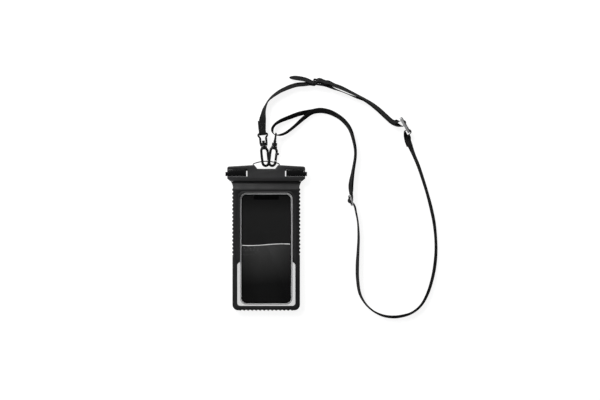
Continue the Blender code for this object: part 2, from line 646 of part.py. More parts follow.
def hook_parts(name, place):
    """A swivel snap hook: eye, body, sprung gate and the gate's pin."""
    x, y, yaw, eye_turn = place
    centre = Matrix.Translation((x * MM, y * MM, BAIL_LEVEL))
    level = centre @ Matrix.Rotation(math.radians(yaw), 4, "Z")
    tilted = level @ Matrix.Rotation(math.radians(HOOK_TILT), 4, "Y")
    turned = level @ Matrix.Rotation(math.radians(eye_turn), 4, "Y")
    radius = HOOK_WIRE / 2

    bow = [(px, py, 0.0) for px, py in arc((0.0, 0.0), HOOK_HALF, 0, -180, 14)]
    path = [(HOOK_HALF, HOOK_NOSE, 0.0)] + bow
    arm_end = HOOK_PIVOT - radius * 0.83
    path += [(-HOOK_HALF, HOOK_PIVOT, 0.0), (-HOOK_HALF * 0.9, HOOK_SHOULDER - radius * 1.4, 0.0),
             (-HOOK_HALF * 0.5, HOOK_SHOULDER - radius * 0.3, 0.0), (0.0, HOOK_SHOULDER, 0.0),
             (HOOK_HALF * 0.45, HOOK_SHOULDER - radius * 0.6, 0.0),
             (HOOK_HALF * 0.96, HOOK_PIVOT + radius * 0.4, 0.0), (HOOK_HALF, arm_end, 0.0)]
    body = wire(name + "_hook_body", path, radius, BLACK)
    collar_low = HOOK_SHOULDER + radius + FIT
    collar_high = collar_low + COLLAR_LENGTH
    stem_top = collar_high + FIT + STEM_HEAD_LENGTH
    stem_foot = (0, HOOK_SHOULDER - radius * 0.4, 0)
    stem = rod(name + "_stem", STEM_RADIUS, stem_foot, (0, stem_top - FIT, 0), BLACK)
    head = rod(name + "_stem_head", STEM_HEAD, (0, collar_high + FIT, 0), (0, stem_top, 0), BLACK)
    neck = rod(name + "_neck", HOOK_NECK, (0, HOOK_SHOULDER - radius * 1.5, 0),
               (0, HOOK_SHOULDER + radius, 0), BLACK)
    for piece in (neck, stem, head):
        combine(body, piece, "UNION")
    fork = GATE_TONGUE / 2 + FIT
    fork_top = HOOK_PIVOT + radius
    slot = block(name + "_fork", (HOOK_HALF - HOOK_WIRE, arm_end - radius, -fork),
                 (HOOK_HALF + HOOK_WIRE, fork_top, fork))
    combine(body, slot)
    bore = rod(name + "_fork_bore", GATE_PIN_RADIUS + FIT, (HOOK_HALF, HOOK_PIVOT, -HOOK_WIRE),
               (HOOK_HALF, HOOK_PIVOT, HOOK_WIRE), BLACK, 12)
    combine(body, bore)

    gate_top = HOOK_PIVOT - radius * 1.4
    gate = wire(name + "_hook_gate", [(0, gate_top - HOOK_PIVOT, 0), (0, HOOK_NOSE + 2 * FIT - HOOK_PIVOT, 0)],
                radius * 0.93, STEEL)
    tongue_half = radius * 0.7
    tongue = arc((0.0, 0.0), tongue_half, 180, 0, 6)
    tongue += [(tongue_half, gate_top - HOOK_PIVOT - radius), (-tongue_half, gate_top - HOOK_PIVOT - radius)]
    combine(gate, slab(name + "_tongue", [tongue], -GATE_TONGUE / 2, GATE_TONGUE / 2, BLACK), "UNION")
    nub_y = -GATE_NUB * 2.1
    combine(gate, rod(name + "_gate_nub", GATE_NUB, (radius * 0.4, nub_y, 0),
                      (radius + GATE_NUB, nub_y, 0), BLACK, 12), "UNION")
    combine(gate, rod(name + "_gate_bore", GATE_PIN_RADIUS + FIT, (0, 0, -HOOK_WIRE),
                      (0, 0, HOOK_WIRE), BLACK, 12))
    pin = rod(name + "_hook_gate_pin", GATE_PIN_RADIUS, (HOOK_HALF, HOOK_PIVOT, -radius),
              (HOOK_HALF, HOOK_PIVOT, radius), STEEL, 12)

    half_eye = WEBBING_WIDTH / 2 + FIT + EYE_WIRE / 2
    bend = EYE_WIRE * 0.6
    leg_end = EYE_HEIGHT - EYE_LEG * 3.8
    leg = [(COLLAR_RADIUS + EYE_WIRE * 0.15, collar_low + FIT, 0),
           (COLLAR_RADIUS + EYE_WIRE * 0.3, collar_high, 0),
           (EYE_WAIST, collar_high + STEM_HEAD_LENGTH, 0), (EYE_WAIST, leg_end, 0),
           (half_eye, EYE_HEIGHT - bend * 2.2, 0), (half_eye, EYE_HEIGHT - bend, 0),
           (half_eye - bend * 0.3, EYE_HEIGHT - bend * 0.3, 0), (half_eye - bend, EYE_HEIGHT, 0)]
    loop = leg + [(-px, py, pz) for px, py, pz in reversed(leg)]
    eye = wire(name + "_hook_eye", loop, EYE_WIRE / 2, BLACK)
    for side in (-1, 1):
        combine(eye, rod(name + "_eye_leg", EYE_LEG, (side * EYE_WAIST, collar_high - EYE_LEG, 0),
                         (side * EYE_WAIST, leg_end, 0), BLACK, 16), "UNION")
    combine(eye, rod(name + "_collar", COLLAR_RADIUS, (0, collar_low, 0), (0, collar_high, 0), BLACK),
            "UNION")
    combine(eye, rod(name + "_collar_bore", STEM_RADIUS + FIT, (0, collar_low - FIT, 0),
                     (0, collar_high + FIT, 0), BLACK))

    swivel = bpy.data.objects.new(name + "_swivel", None)
    CASE.objects.link(swivel)
    swivel.matrix_world = tilted
    mount = bpy.data.objects.new(name + "_eye_place", None)
    CASE.objects.link(mount)
    mount.matrix_world = turned
    for item in [body, pin] + [change.object for change in body.modifiers]:
        item.parent = swivel
    for item in [eye] + [change.object for change in eye.modifiers]:
        item.parent = mount
    pivot = bpy.data.objects.new(name + "_gate_pivot", None)
    CASE.objects.link(pivot)
    pivot.parent = swivel
    pivot.location = (HOOK_HALF, HOOK_PIVOT, 0.0)
    for item in [gate] + [change.object for change in gate.modifiers]:
        item.parent = pivot


class Slider:
    """A flat slider with windows: where it stands and how the webbing passes it."""

    def __init__(self, name, centre, heading, lean, length, thickness, bar, bars):
        self.name = name
        self.centre = Vector(centre) * MM
        angle = math.radians(heading)
        self.along = Vector((math.cos(angle), math.sin(angle), 0.0))
        side = Vector((0, 0, 1)).cross(self.along)
        tilt = math.radians(lean)
        self.across = -math.cos(tilt) * side + math.sin(tilt) * Vector((0, 0, 1))
        self.out = self.across.cross(self.along)
        self.length = length * MM
        self.thickness = thickness * MM
        self.bar = bar * MM
        self.bars = bars

    def at(self, along, out):
        """A point of a webbing route, from millimetres along and out of the slider."""
        place = self.centre + self.along * along * MM + self.out * out * MM
        return (*(place / MM), self.across)

    def build(self, material):
        """The plate with its windows."""
        half_length = self.length / 2
        half_width = SLIDER_WIDTH / 2
        outlines = [rounded_box((-half_length, -half_width), (half_length, half_width), self.bar, 4)]
        window = (self.length - self.bars * self.bar) / (self.bars - 1)
        half_window = WEBBING_WIDTH / 2 + FIT * 1.5
        for index in range(self.bars - 1):
            low = -half_length + self.bar + index * (window + self.bar)
            outlines.append(rounded_box((low, -half_window), (low + window, half_window),
                                        self.bar * 0.25, 2))
        axes = (self.along, self.across, self.along.cross(self.across))
        turn = Matrix([[axis[row] for axis in axes] for row in range(3)]).to_4x4()
        place = Matrix.Translation(self.centre) @ turn
        half = self.thickness / 2
        made = slab(self.name, outlines, -half, half, material, place)
        bevel_rim(made, half, self.thickness * 0.2, 1)
        bevel_rim(made, -half, self.thickness * 0.2, 1)


TOP_SLIDER = Slider("top_slider", (74.5, 214.3, 6.8), -9.0, 55.0, 18.2, 2.0, 2.2, 3)
LADDER_SLIDER = Slider("ladder_slider", (194.2, 154.7, 7.2), -59.8, 80.0, 24.3, 2.8, 2.2, 4)
LOWER_SLIDER = Slider("lower_slider", (118.5, 49.2, 7.2), -71.1, 100.0, 15.1, 1.8, 1.9, 3)


def upper_route():
    """Route of the upper strap: x, y, z in millimetres and the lean in degrees."""
    top = TOP_SLIDER
    ladder = LADDER_SLIDER
    route = [(-6.9, 160.6, 5.5, 0), (-6.5, 155.0, 6.2, 0), (-5.9, 149.0, 6.8, 0),
             (-5.5, 146.0, 6.2, 0), (-5.1, 142.5, 5.85, 0), (-5.0, 141.2, 6.4, 0),
             (-4.9, 140.65, 7.7, 0), (-5.0, 141.2, 9.0, 0), (-5.1, 142.5, 9.55, 0),
             (-5.5, 146.0, 9.1, 0), (-5.6, 149.0, 8.6, 0), (-5.5, 155.0, 8.5, 2),
             (-5.2, 161.5, 8.4, 14), (-4.3, 168.7, 7.2, 45), (-3.1, 175.7, 6.4, 61),
             (-0.5, 182.7, 5.7, 75), (2.3, 188.0, 5.5, 80), (6.9, 193.0, 5.4, 73),
             (12.3, 197.3, 5.3, 66), (19.4, 202.0, 5.1, 61), (26.7, 205.5, 4.9, 57),
             (33.4, 208.3, 4.8, 54), (43.0, 211.0, 4.9, 54), (54.0, 211.9, 5.6, 55)]
    route += [top.at(-12.5, -4.2), top.at(-8.0, -4.1), top.at(-6.1, -3.7),
              top.at(-4.6, -2.3), top.at(-2.8, 0.2), top.at(-1.6, 1.8),
              top.at(0.0, 2.0), top.at(1.4, 1.8), top.at(2.8, 0.6),
              top.at(4.6, -1.0), top.at(6.5, -1.75), top.at(8.0, -1.95),
              top.at(12.0, -2.6)]
    pair = [(136.9, 190.4, 5.4, 109), (147.6, 183.7, 5.3, 116), (158.6, 175.0, 5.2, 122),
            (168.3, 166.0, 5.2, 123), (177.6, 158.4, 5.2, 126)]
    route += [(94.5, 205.6, 5.6, 76), (105.0, 201.7, 5.4, 85), (116.0, 197.2, 5.4, 85),
              (126.8, 193.0, 5.3, 77)]
    route += [(x, y, z, 180 - lean) for x, y, z, lean in beside(pair, -WEBBING_PLY)]
    route += [(184.0, 154.8, 5.7, 60), ladder.at(-0.6, -4.6), ladder.at(0.3, -2.0),
              ladder.at(-0.8, 0.6), ladder.at(-2.2, 2.2), ladder.at(-3.7, 2.7),
              ladder.at(-5.2, 2.2), ladder.at(-6.6, 0.6), ladder.at(-7.9, -2.0),
              ladder.at(-8.5, -4.6), (183.3, 159.6, 6.1, 122)]
    route += list(reversed(beside(pair, WEBBING_PLY)))
    route += [(127.9, 195.8, 5.6, 111), (116.0, 201.7, 5.5, 116), (104.5, 207.1, 5.9, 122),
              (95.0, 210.5, 6.7, 122)]
    route += [top.at(12.5, 2.3), top.at(8.0, 1.9), top.at(4.3, 2.9),
              top.at(1.3, 3.8), top.at(-0.4, 4.0), top.at(-2.6, 3.5),
              top.at(-4.6, 1.0), top.at(-5.9, -1.5), top.at(-7.4, -2.3),
              top.at(-9.4, -2.3), top.at(-12.0, -1.4)]
    route += [(54.8, 218.3, 5.6, 126), (47.2, 219.9, 5.2, 128), (40.2, 220.8, 5.0, 128),
              (32.3, 221.2, 4.9, 128)]
    return route


def beside(points, distance):
    """A run of route points moved out of the webbing's face, to the left of its direction."""
    moved = []
    for index, (x, y, z, lean) in enumerate(points):
        before = points[max(index - 1, 0)]
        after = points[min(index + 1, len(points) - 1)]
        along = Vector((after[0] - before[0], after[1] - before[1])).normalized()
        level = distance * math.sin(math.radians(lean))
        rise = -distance * math.cos(math.radians(lean))
        moved.append((x - along.y * level, y + along.x * level, z + rise, lean))
    return moved


def lower_route():
    """Route of the lower strap: x, y, z in millimetres and the lean in degrees."""
    ladder = LADDER_SLIDER
    lower = LOWER_SLIDER
    route = [(200.1, 124.8, 4.7, 56), (199.4, 127.2, 4.7, 54), (197.3, 133.0, 4.9, 54),
             (195.6, 138.8, 5.5, 62)]
    route += [ladder.at(6.9, -4.2), ladder.at(7.3, -1.6), ladder.at(8.0, 0.8),
              ladder.at(9.4, 2.3), ladder.at(11.1, 2.7), ladder.at(12.9, 2.2),
              ladder.at(14.0, 0.6), ladder.at(14.0, -1.5)]
    route += [(199.6, 138.2, 6.6, 116), (199.1, 133.4, 5.9, 126), (201.0, 127.0, 5.8, 126),
              (203.2, 121.2, 5.4, 119), (206.3, 113.6, 5.1, 112), (212.6, 98.6, 5.1, 111),
              (219.4, 78.6, 5.1, 109), (225.6, 58.4, 5.1, 108), (230.8, 38.5, 5.1, 110),
              (234.9, 18.7, 5.1, 109), (237.1, -1.1, 5.1, 107), (237.7, -21.1, 5.1, 108),
              (236.1, -41.3, 5.1, 110), (232.3, -61.4, 5.1, 109), (225.7, -81.9, 5.1, 108),
              (216.4, -98.2, 5.1, 105), (204.1, -108.2, 5.1, 104), (190.5, -112.7, 5.1, 107),
              (177.6, -114.1, 5.1, 107), (163.4, -112.1, 5.2, 103), (150.2, -105.9, 5.2, 98),
              (139.4, -96.1, 5.3, 98), (131.3, -81.9, 5.3, 103), (127.9, -61.3, 5.2, 106),
              (127.6, -41.3, 5.2, 107), (128.6, -21.1, 5.2, 103), (129.3, -1.1, 5.3, 100),
              (128.2, 18.9, 5.6, 96), (125.6, 33.0, 6.3, 97)]
    route += [lower.at(9.8, 2.4), lower.at(6.4, 1.9), lower.at(4.8, 1.4),
              lower.at(3.7, -0.6), lower.at(2.0, -3.0), lower.at(0.0, -3.6),
              lower.at(-1.8, -3.0), lower.at(-3.6, -0.8), lower.at(-4.9, 1.35),
              lower.at(-6.5, 1.95)]
    double = [(118.6, 64.5, 5.9, 109), (118.7, 72.0, 5.5, 111), (121.4, 89.3, 5.4, 100),
              (124.6, 109.3, 5.4, 96), (124.8, 119.4, 5.4, 96), (122.9, 131.0, 5.4, 98),
              (117.5, 148.6, 5.4, 102), (110.9, 158.1, 5.4, 105), (103.1, 165.2, 5.4, 106),
              (89.2, 172.6, 5.4, 111), (75.6, 175.1, 5.4, 114), (63.5, 173.0, 5.3, 115)]
    route += beside(double, WEBBING_PLY)
    route += [(54.6, 166.0, 5.1, 112), (48.2, 160.6, 5.1, 109), (41.2, 154.3, 5.1, 105),
              (34.6, 148.8, 5.3, 103), (26.8, 143.3, 6.0, 102), (20.0, 140.8, 7.0, 99),
              (15.6, 140.5, 7.7, 92), (13.2, 140.7, 7.7, 90), (11.2, 141.6, 7.7, 90),
              (9.4, 143.6, 7.6, 86), (8.5, 146.6, 7.3, 79), (9.0, 150.6, 6.7, 78),
              (12.3, 155.3, 6.0, 78), (19.2, 160.0, 5.5, 73), (33.2, 165.7, 5.1, 67),
              (47.4, 170.7, 5.1, 65)]
    back = [(x, y, z, 180 - lean) for x, y, z, lean in beside(double, -WEBBING_PLY)]
    route += list(reversed(back))
    route += [lower.at(-8.9, 4.7), lower.at(-6.4, 4.0), lower.at(-3.0, 3.1),
              lower.at(-0.3, 2.0), lower.at(1.2, 1.65), lower.at(2.0, 0.7),
              lower.at(2.0, -0.7), lower.at(1.2, -1.6)]
    return route


def rungs_of(route):
    """Each route point with its width direction: six numbers a point.

    A lean of 0 degrees is flat and 90 is on edge; a slider states the direction itself.
    """
    rungs = []
    side = None
    for index, (x, y, z, lean) in enumerate(route):
        before = route[max(index - 1, 0)]
        after = route[min(index + 1, len(route) - 1)]
        along = Vector(after[:3]) - Vector(before[:3])
        level = Vector((-along.y, along.x, 0.0))
        if level.length > 0.4 * along.length:
            level.normalize()
            if side is not None and level.dot(side) < 0:
                level = -level
            side = level
        across = lean
        if not isinstance(lean, Vector):
            tilt = math.radians(lean)
            across = math.cos(tilt) * side + math.sin(tilt) * Vector((0, 0, 1))
        rungs.append(Vector((x, y, z, *across)))
    return rungs


def smooth(route, step):
    """Rungs along one smooth curve through the points of a route."""
    rungs = rungs_of(route)
    points = [2 * rungs[0] - rungs[1]] + rungs + [2 * rungs[-1] - rungs[-2]]
    rows = []
    for index in range(1, len(points) - 2):
        four = points[index - 1:index + 3]
        knots = [0.0]
        for before, after in zip(four, four[1:]):
            knots.append(knots[-1] + math.sqrt((after - before).xyz.length))
        length = (four[2] - four[1]).xyz.length * MM
        count = max(1, round(length / step))
        for piece in range(count):
            here = knots[1] + (knots[2] - knots[1]) * piece / count
            rows.append(catmull_rom(four, knots, here))
    rows.append(rungs[-1])
    return rows


def catmull_rom(points, knots, here):
    """One point of a centripetal Catmull-Rom curve."""
    level = list(points)
    for reach in (1, 2, 3):
        mixed = []
        for index in range(len(level) - 1):
            if reach == 3:
                low, high = knots[1], knots[2]
            elif reach == 2:
                low, high = knots[index], knots[index + 2]
            else:
                low, high = knots[index], knots[index + 1]
            share = (here - low) / (high - low)
            mixed.append(level[index] * (1 - share) + level[index + 1] * share)
        level = mixed
    return level[0]


def strap(name, route, pointed=False):
    """Flat webbing along a route, as an open ribbon with a thickness."""
    rows = smooth(route, WEBBING_STEP)
    end = rows[-1].xyz * MM
    work = bmesh.new()
    rungs = []
    for row in rows:
        centre = row.xyz * MM
        half = Vector(row[3:]).normalized() * WEBBING_WIDTH / 2
        left = (centre - end).length
        if pointed and left < TAIL_POINT:
            half *= 0.15 + 0.85 * math.sqrt(left / TAIL_POINT)
        rungs.append([work.verts.new(centre - half), work.verts.new(centre + half)])
    for low, high in zip(rungs, rungs[1:]):
        work.faces.new((low[0], low[1], high[1], high[0]))
    mesh = bpy.data.meshes.new(name)
    work.to_mesh(mesh)
    work.free()
    mesh.materials.append(WEBBING)
    made = bpy.data.objects.new(name, mesh)
    CASE.objects.link(made)
    shell = made.modifiers.new("thickness", "SOLIDIFY")
    shell.thickness = WEBBING_THICKNESS
    shell.offset = 0.0
    return made


def build():
    """Make every piece of the case and its lanyard."""
    frame_half("front_frame", 1)
    frame_half("back_frame", -1)
    film("front_window", 1)
    film("back_window", -1)
    phone()
    front_jaw()
    back_jaw()
    seal_strip("front_seal_strip", 1)
    seal_strip("back_seal_strip", -1)
    lock("left", -1)
    lock("right", 1)
    bail()
    hook_parts("left", LEFT_HOOK)
    hook_parts("right", RIGHT_HOOK)
    TOP_SLIDER.build(BLACK)
    LADDER_SLIDER.build(SATIN)
    LOWER_SLIDER.build(SATIN)
    strap("upper_strap", upper_route(), pointed=True)
    strap("lower_strap", lower_route())


build()
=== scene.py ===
# %% [markdown]
# # Dressing a waterproof phone case
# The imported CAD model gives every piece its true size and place. This lesson
# gives those pieces their looks: moulded plastic, ribbed rubber, clear film,
# woven tape and small metal parts. Each step says what the piece is on the
# real object, how it could be made, and why this way was chosen.

# %% Load the frame
import math

import bmesh
import bpy
from mathutils import Matrix, Vector


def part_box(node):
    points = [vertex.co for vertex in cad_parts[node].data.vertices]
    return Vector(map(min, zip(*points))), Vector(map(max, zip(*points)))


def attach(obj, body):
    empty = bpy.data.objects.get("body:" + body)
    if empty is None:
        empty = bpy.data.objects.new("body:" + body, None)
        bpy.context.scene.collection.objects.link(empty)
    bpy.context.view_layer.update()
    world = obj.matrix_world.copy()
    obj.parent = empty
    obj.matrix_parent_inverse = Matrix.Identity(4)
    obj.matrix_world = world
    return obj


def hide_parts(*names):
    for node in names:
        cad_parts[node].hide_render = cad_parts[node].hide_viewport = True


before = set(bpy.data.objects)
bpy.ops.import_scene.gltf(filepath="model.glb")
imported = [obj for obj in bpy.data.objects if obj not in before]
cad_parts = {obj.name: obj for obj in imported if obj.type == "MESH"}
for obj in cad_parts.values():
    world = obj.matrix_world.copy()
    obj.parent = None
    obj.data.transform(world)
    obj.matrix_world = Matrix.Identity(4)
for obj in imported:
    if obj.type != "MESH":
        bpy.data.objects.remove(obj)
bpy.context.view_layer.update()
MM = 0.001
scene = bpy.context.scene


# %% Two helpers for objects and meshes
def placed(name, data):
    """A new object in the scene, made from mesh, lamp or curve data."""
    made = bpy.data.objects.new(name, data)
    scene.collection.objects.link(made)
    return made


def mesh_from(work, name):
    """A new mesh from a finished bmesh."""
    mesh = bpy.data.meshes.new(name)
    work.to_mesh(mesh)
    work.free()
    return mesh


# %% [markdown]
# ## The camera
# The case was photographed from straight above. A long lens from three metres
# up keeps the sides of the case from showing, as in a catalogue picture. One
# pixel of the 600 by 400 picture is 1.4 mm on the table.

# %% A camera straight above
PIXEL = 1.4 * MM
PICTURE_WIDTH = 600  # pixels
VIEW_CENTRE = Vector((47.25 * MM, 49.7 * MM, 6 * MM))
LENS = 135.0
SENSOR = 36.0
height = LENS / SENSOR * PICTURE_WIDTH * PIXEL
camera_data = bpy.data.cameras.new("catalogue_camera")
camera_data.lens = LENS
camera_data.sensor_width = SENSOR
camera_data.clip_end = 20.0
camera = placed("catalogue_camera", camera_data)
camera.location = VIEW_CENTRE + Vector((0, 0, height))
scene.camera = camera
print("camera height:", round(height, 3), "m")

# %% [markdown]
# ## Light and table
# Dark plastic is drawn by what it mirrors, so large soft lamps stand low round
# the table: their reflections run along every rounded edge, while the lamp
# overhead stays weak and keeps the glass black. The table is near white. Part
# of its brightness is its own, so that its shadow stays as faint as the one
# in a catalogue picture.

# %% Soft lamps
scene.view_settings.view_transform = "Standard"
LAMP_TARGET = (0.05, 0.0, 0.0)


def lamp(name, place, size, power):
    """A rectangular soft lamp that faces the case."""
    data = bpy.data.lights.new(name, "AREA")
    data.shape = "RECTANGLE"
    data.size, data.size_y = size
    data.energy = power
    item = placed(name, data)
    item.location = place
    aim = Vector(LAMP_TARGET) - Vector(place)
    item.rotation_euler = aim.to_track_quat("-Z", "Y").to_euler()


lamp("lamp_far", (0.0, 1.7, 1.0), (2.2, 0.6), 20.0)
lamp("lamp_near", (0.1, -1.6, 0.8), (2.0, 0.5), 1.5)
lamp("lamp_left", (-1.5, 0.1, 0.8), (0.5, 1.6), 8.0)
lamp("lamp_right", (1.6, 0.1, 0.8), (0.5, 1.6), 4.0)
lamp("lamp_above", (-1.3, 1.6, 1.9), (1.0, 1.0), 48.0)


# %% Helpers for nodes
def feed(tree, item, inputs):
    """Give a node's inputs their values, or links from other nodes' outputs."""
    for name, value in inputs.items():
        if isinstance(value, bpy.types.NodeSocket):
            tree.links.new(value, item.inputs[name])
        else:
            item.inputs[name].default_value = value
    return item


def add_node(tree, kind, inputs=None, **settings):
    """A new node in a tree, with its settings and then its inputs."""
    made = tree.nodes.new(kind)
    for name, value in settings.items():
        setattr(made, name, value)
    return feed(tree, made, inputs or {})


def maths(tree, operation, *values):
    """The output of a Math node, fed by numbers or other nodes' outputs."""
    made = add_node(tree, "ShaderNodeMath", dict(enumerate(values)), operation=operation)
    return made.outputs[0]


def ramp(tree, value, start, end, low=0.0, high=1.0):
    """A value's way from start to end, as a way from low to high."""
    made = add_node(tree, "ShaderNodeMapRange", {"Value": value, "From Min": start, "From Max": end,
                                                 "To Min": low, "To Max": high})
    return made.outputs[0]


# %% A dim room that looks white to the camera
world = bpy.data.worlds.new("studio")
scene.world = world
world.use_nodes = True
room = world.node_tree
dim = feed(room, room.nodes["Background"], {"Color": (1, 1, 1, 1), "Strength": 0.05})
white = add_node(room, "ShaderNodeBackground", {"Strength": 1.0})
paths = add_node(room, "ShaderNodeLightPath").outputs
either = add_node(room, "ShaderNodeMixShader",
                  {0: paths["Is Camera Ray"], 1: dim.outputs[0], 2: white.outputs[0]})
feed(room, room.nodes["World Output"], {"Surface": either.outputs[0]})
print("room nodes:", len(room.nodes))

# %% A white table
TABLE_HALF = 3.0
TABLE_DROP = 0.2 * MM  # the table lies a hair under the case
corners = [(x * TABLE_HALF, y * TABLE_HALF, 0) for x, y in ((-1, -1), (1, -1), (1, 1), (-1, 1))]
table_mesh = bpy.data.meshes.new("table")
table_mesh.from_pydata(corners, [], [(0, 1, 2, 3)])
table_top = placed("table", table_mesh)
table_top.location.z = -TABLE_DROP

table_finish = bpy.data.materials.new("white_table")
table_finish.use_nodes = True
tree = table_finish.node_tree
tree.nodes.remove(tree.nodes["Principled BSDF"])
paths = add_node(tree, "ShaderNodeLightPath").outputs
seen = maths(tree, "MAXIMUM", paths["Is Camera Ray"], paths["Is Transmission Ray"])
matt = add_node(tree, "ShaderNodeBsdfDiffuse", {"Color": (0.45, 0.45, 0.45, 1)})
faint = add_node(tree, "ShaderNodeBsdfDiffuse", {"Color": (0.28, 0.28, 0.28, 1)})
glow = add_node(tree, "ShaderNodeEmission", {"Strength": 0.87})
both = add_node(tree, "ShaderNodeAddShader", {0: faint.outputs[0], 1: glow.outputs[0]})
choose = add_node(tree, "ShaderNodeMixShader", {0: seen, 1: matt.outputs[0], 2: both.outputs[0]})
feed(tree, tree.nodes["Material Output"], {"Surface": choose.outputs[0]})
table_mesh.materials.append(table_finish)
print("table nodes:", len(tree.nodes))

# %% [markdown]
# ## Moulded finishes
# Injection-moulded plastic and rubber share one recipe: a base colour, fine
# spark-eroded grain in the bump, and a slow change in roughness where hands
# have polished it. One function writes that recipe, and each finish only
# states its numbers. Faces that turn sideways get a painted side tone that
# stands in for light: a painted highlight, paler, on most finishes, and
# painted shade, darker, on the phone frame.


# %% A function for moulded finishes
def new_finish(name, inputs):
    """A material, its node tree, and its Principled shader with the inputs given."""
    made = bpy.data.materials.new(name)
    made.use_nodes = True
    tree = made.node_tree
    return made, tree, feed(tree, tree.nodes["Principled BSDF"], inputs)


def bumped(tree, shader, relief, strength, depth, invert=False):
    """Fine relief on a finish, from another node's output."""
    bump = add_node(tree, "ShaderNodeBump",
                    {"Height": relief, "Strength": strength, "Distance": depth}, invert=invert)
    feed(tree, shader, {"Normal": bump.outputs[0]})


GRAIN_DEPTH = 0.1 * MM
POLISH_SCALE = 60.0  # polished patches a metre


def moulded(name, colour, roughness, grain, strength, painted_side_colour=None, metallic=0.0, gloss=0.5):
    """A Principled finish with grain (features a metre), its sideways faces in a painted side tone
    as painted light.
    """
    made, tree, shader = new_finish(name, {"Metallic": metallic, "Specular IOR Level": gloss})
    where = add_node(tree, "ShaderNodeTexCoord").outputs["Object"]
    fine = add_node(tree, "ShaderNodeTexNoise", {"Vector": where, "Scale": grain, "Detail": 2.0})
    bumped(tree, shader, fine.outputs["Fac"], strength, GRAIN_DEPTH)
    slow = add_node(tree, "ShaderNodeTexNoise",
                    {"Vector": where, "Scale": POLISH_SCALE, "Detail": 4.0})
    polish = ramp(tree, slow.outputs["Fac"], 0.3, 0.7,
                  roughness * 0.85, min(1.0, roughness * 1.15))
    # Painted light: the more a face turns sideways, the more it takes the painted side tone. That
    # is a painted highlight (by default 1.5 times the base colour), and painted shade on the phone
    # frame.
    normal = add_node(tree, "ShaderNodeNewGeometry").outputs["Normal"]
    facing = add_node(tree, "ShaderNodeSeparateXYZ", {0: normal}).outputs["Z"]
    sideways = ramp(tree, maths(tree, "ABSOLUTE", facing), 0.97, 0.55)
    painted_side_tone = painted_side_colour or tuple(min(1.0, part * 1.5) for part in colour)
    tone = add_node(tree, "ShaderNodeMix",
                    {"Factor": sideways, "A": (*colour, 1), "B": (*painted_side_tone, 1)}, data_type="RGBA")
    feed(tree, shader, {"Roughness": polish, "Base Color": tone.outputs["Result"]})
    return made


# %% The moulded finishes and the metals
# The sixth colour of a finish is its painted side colour: paler as a painted highlight on sideways
# faces, darker as painted shade on the phone frame.
BAR_FINISH = moulded("charcoal_satin", (0.026, 0.026, 0.027), 0.4, 5200, 0.25,
                     (0.09, 0.09, 0.092), gloss=0.4)
LEVER_FINISH = moulded("black_gloss", (0.005, 0.005, 0.0055), 0.28, 4200, 0.12, gloss=0.3)
RUBBER_FINISH = moulded("black_rubber_grain", (0.0075, 0.0075, 0.008), 0.55, 3800, 0.4,
                        (0.014, 0.014, 0.015), gloss=0.3)
HOOK_FINISH = moulded("black_hook_plastic", (0.004, 0.004, 0.0045), 0.42, 4200, 0.15, gloss=0.2)
SILICONE_FINISH = moulded("grey_silicone_lip", (0.12, 0.12, 0.12), 0.6, 2500, 0.2)
DARK_WIRE = moulded("dark_plated_wire", (0.03, 0.03, 0.032), 0.3, 6000, 0.08, metallic=1.0)
GREY_METAL = moulded("grey_satin_metal_cast", (0.34, 0.34, 0.345), 0.45, 3000, 0.15,
                     (0.4, 0.4, 0.405), metallic=0.35)
PHONE_EDGE = moulded("phone_edge_anodised", (0.8, 0.8, 0.805), 0.35, 6000, 0.06,
                     (0.22, 0.22, 0.225), metallic=0.1)
print("finishes:", len(bpy.data.materials))

# %% [markdown]
# ## Dressed copies of the CAD solids
# A CAD solid has sharp edges, and nothing real does: a moulding's edges are
# rounded, and those thin roundings catch the light. A copy of the solid is
# welded and given a small Bevel with hardened normals. That is quicker than
# modelling again what is already right in size, and the copy then stands for
# the solid.


# %% Helpers for dressed copies
def welded(node, name):
    """A merged copy of a CAD node's mesh in a new object."""
    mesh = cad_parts[node].data.copy()
    mesh.name = name
    work = bmesh.new()
    work.from_mesh(mesh)
    bmesh.ops.remove_doubles(work, verts=work.verts, dist=0.02 * MM)
    bmesh.ops.dissolve_limit(work, angle_limit=math.radians(1.0),
                             verts=work.verts, edges=work.edges)
    work.to_mesh(mesh)
    work.free()
    return placed(name, mesh)


def rounded(item, width, segments=2, angle=28.0):
    """Smooth shading, and rounded edges where faces meet at more than an angle."""
    item.data.polygons.foreach_set("use_smooth", [True] * len(item.data.polygons))
    bevel = item.modifiers.new("rounded_edges", "BEVEL")
    bevel.width = width
    bevel.segments = segments
    bevel.limit_method = "ANGLE"
    bevel.angle_limit = math.radians(angle)
    bevel.harden_normals = True
    return item


def repaint(item, finish):
    """Give a piece one finish in place of what it had."""
    item.data.materials.clear()
    item.data.materials.append(finish)


def dress(item, finish, body, slot, *nodes):
    """Give a piece its finish, the body that it rides on and the nodes it stands for."""
    repaint(item, finish)
    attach(item, body)
    if nodes:
        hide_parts(*nodes)
    return item


# %% The two jaws of the clamp bar
for node in ("clamp_front_jaw", "clamp_back_jaw"):
    jaw = rounded(welded(node, node + "_moulding"), 0.35 * MM)
    dress(jaw, BAR_FINISH, "case", "charcoal_plastic", node)

# %% The flip levers and their pins
NEAR = 0.1 * MM  # a point this close to the low edge counts as on it
LIP = 0.22 * MM  # a soft lip on each lever's low edge, which narrows the gap under it

for side in ("left", "right"):
    node = side + "_lock_lever"
    lever = welded(node, node + "_moulding")
    low_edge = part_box(node)[0][1]
    for point in lever.data.vertices:
        if point.co.y < low_edge + NEAR:
            point.co.y -= LIP
    dress(rounded(lever, 0.3 * MM), LEVER_FINISH, side + "_lock", "black_plastic", node)
    repaint(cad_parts[side + "_lock_pin"], DARK_WIRE)
print("levers dressed")

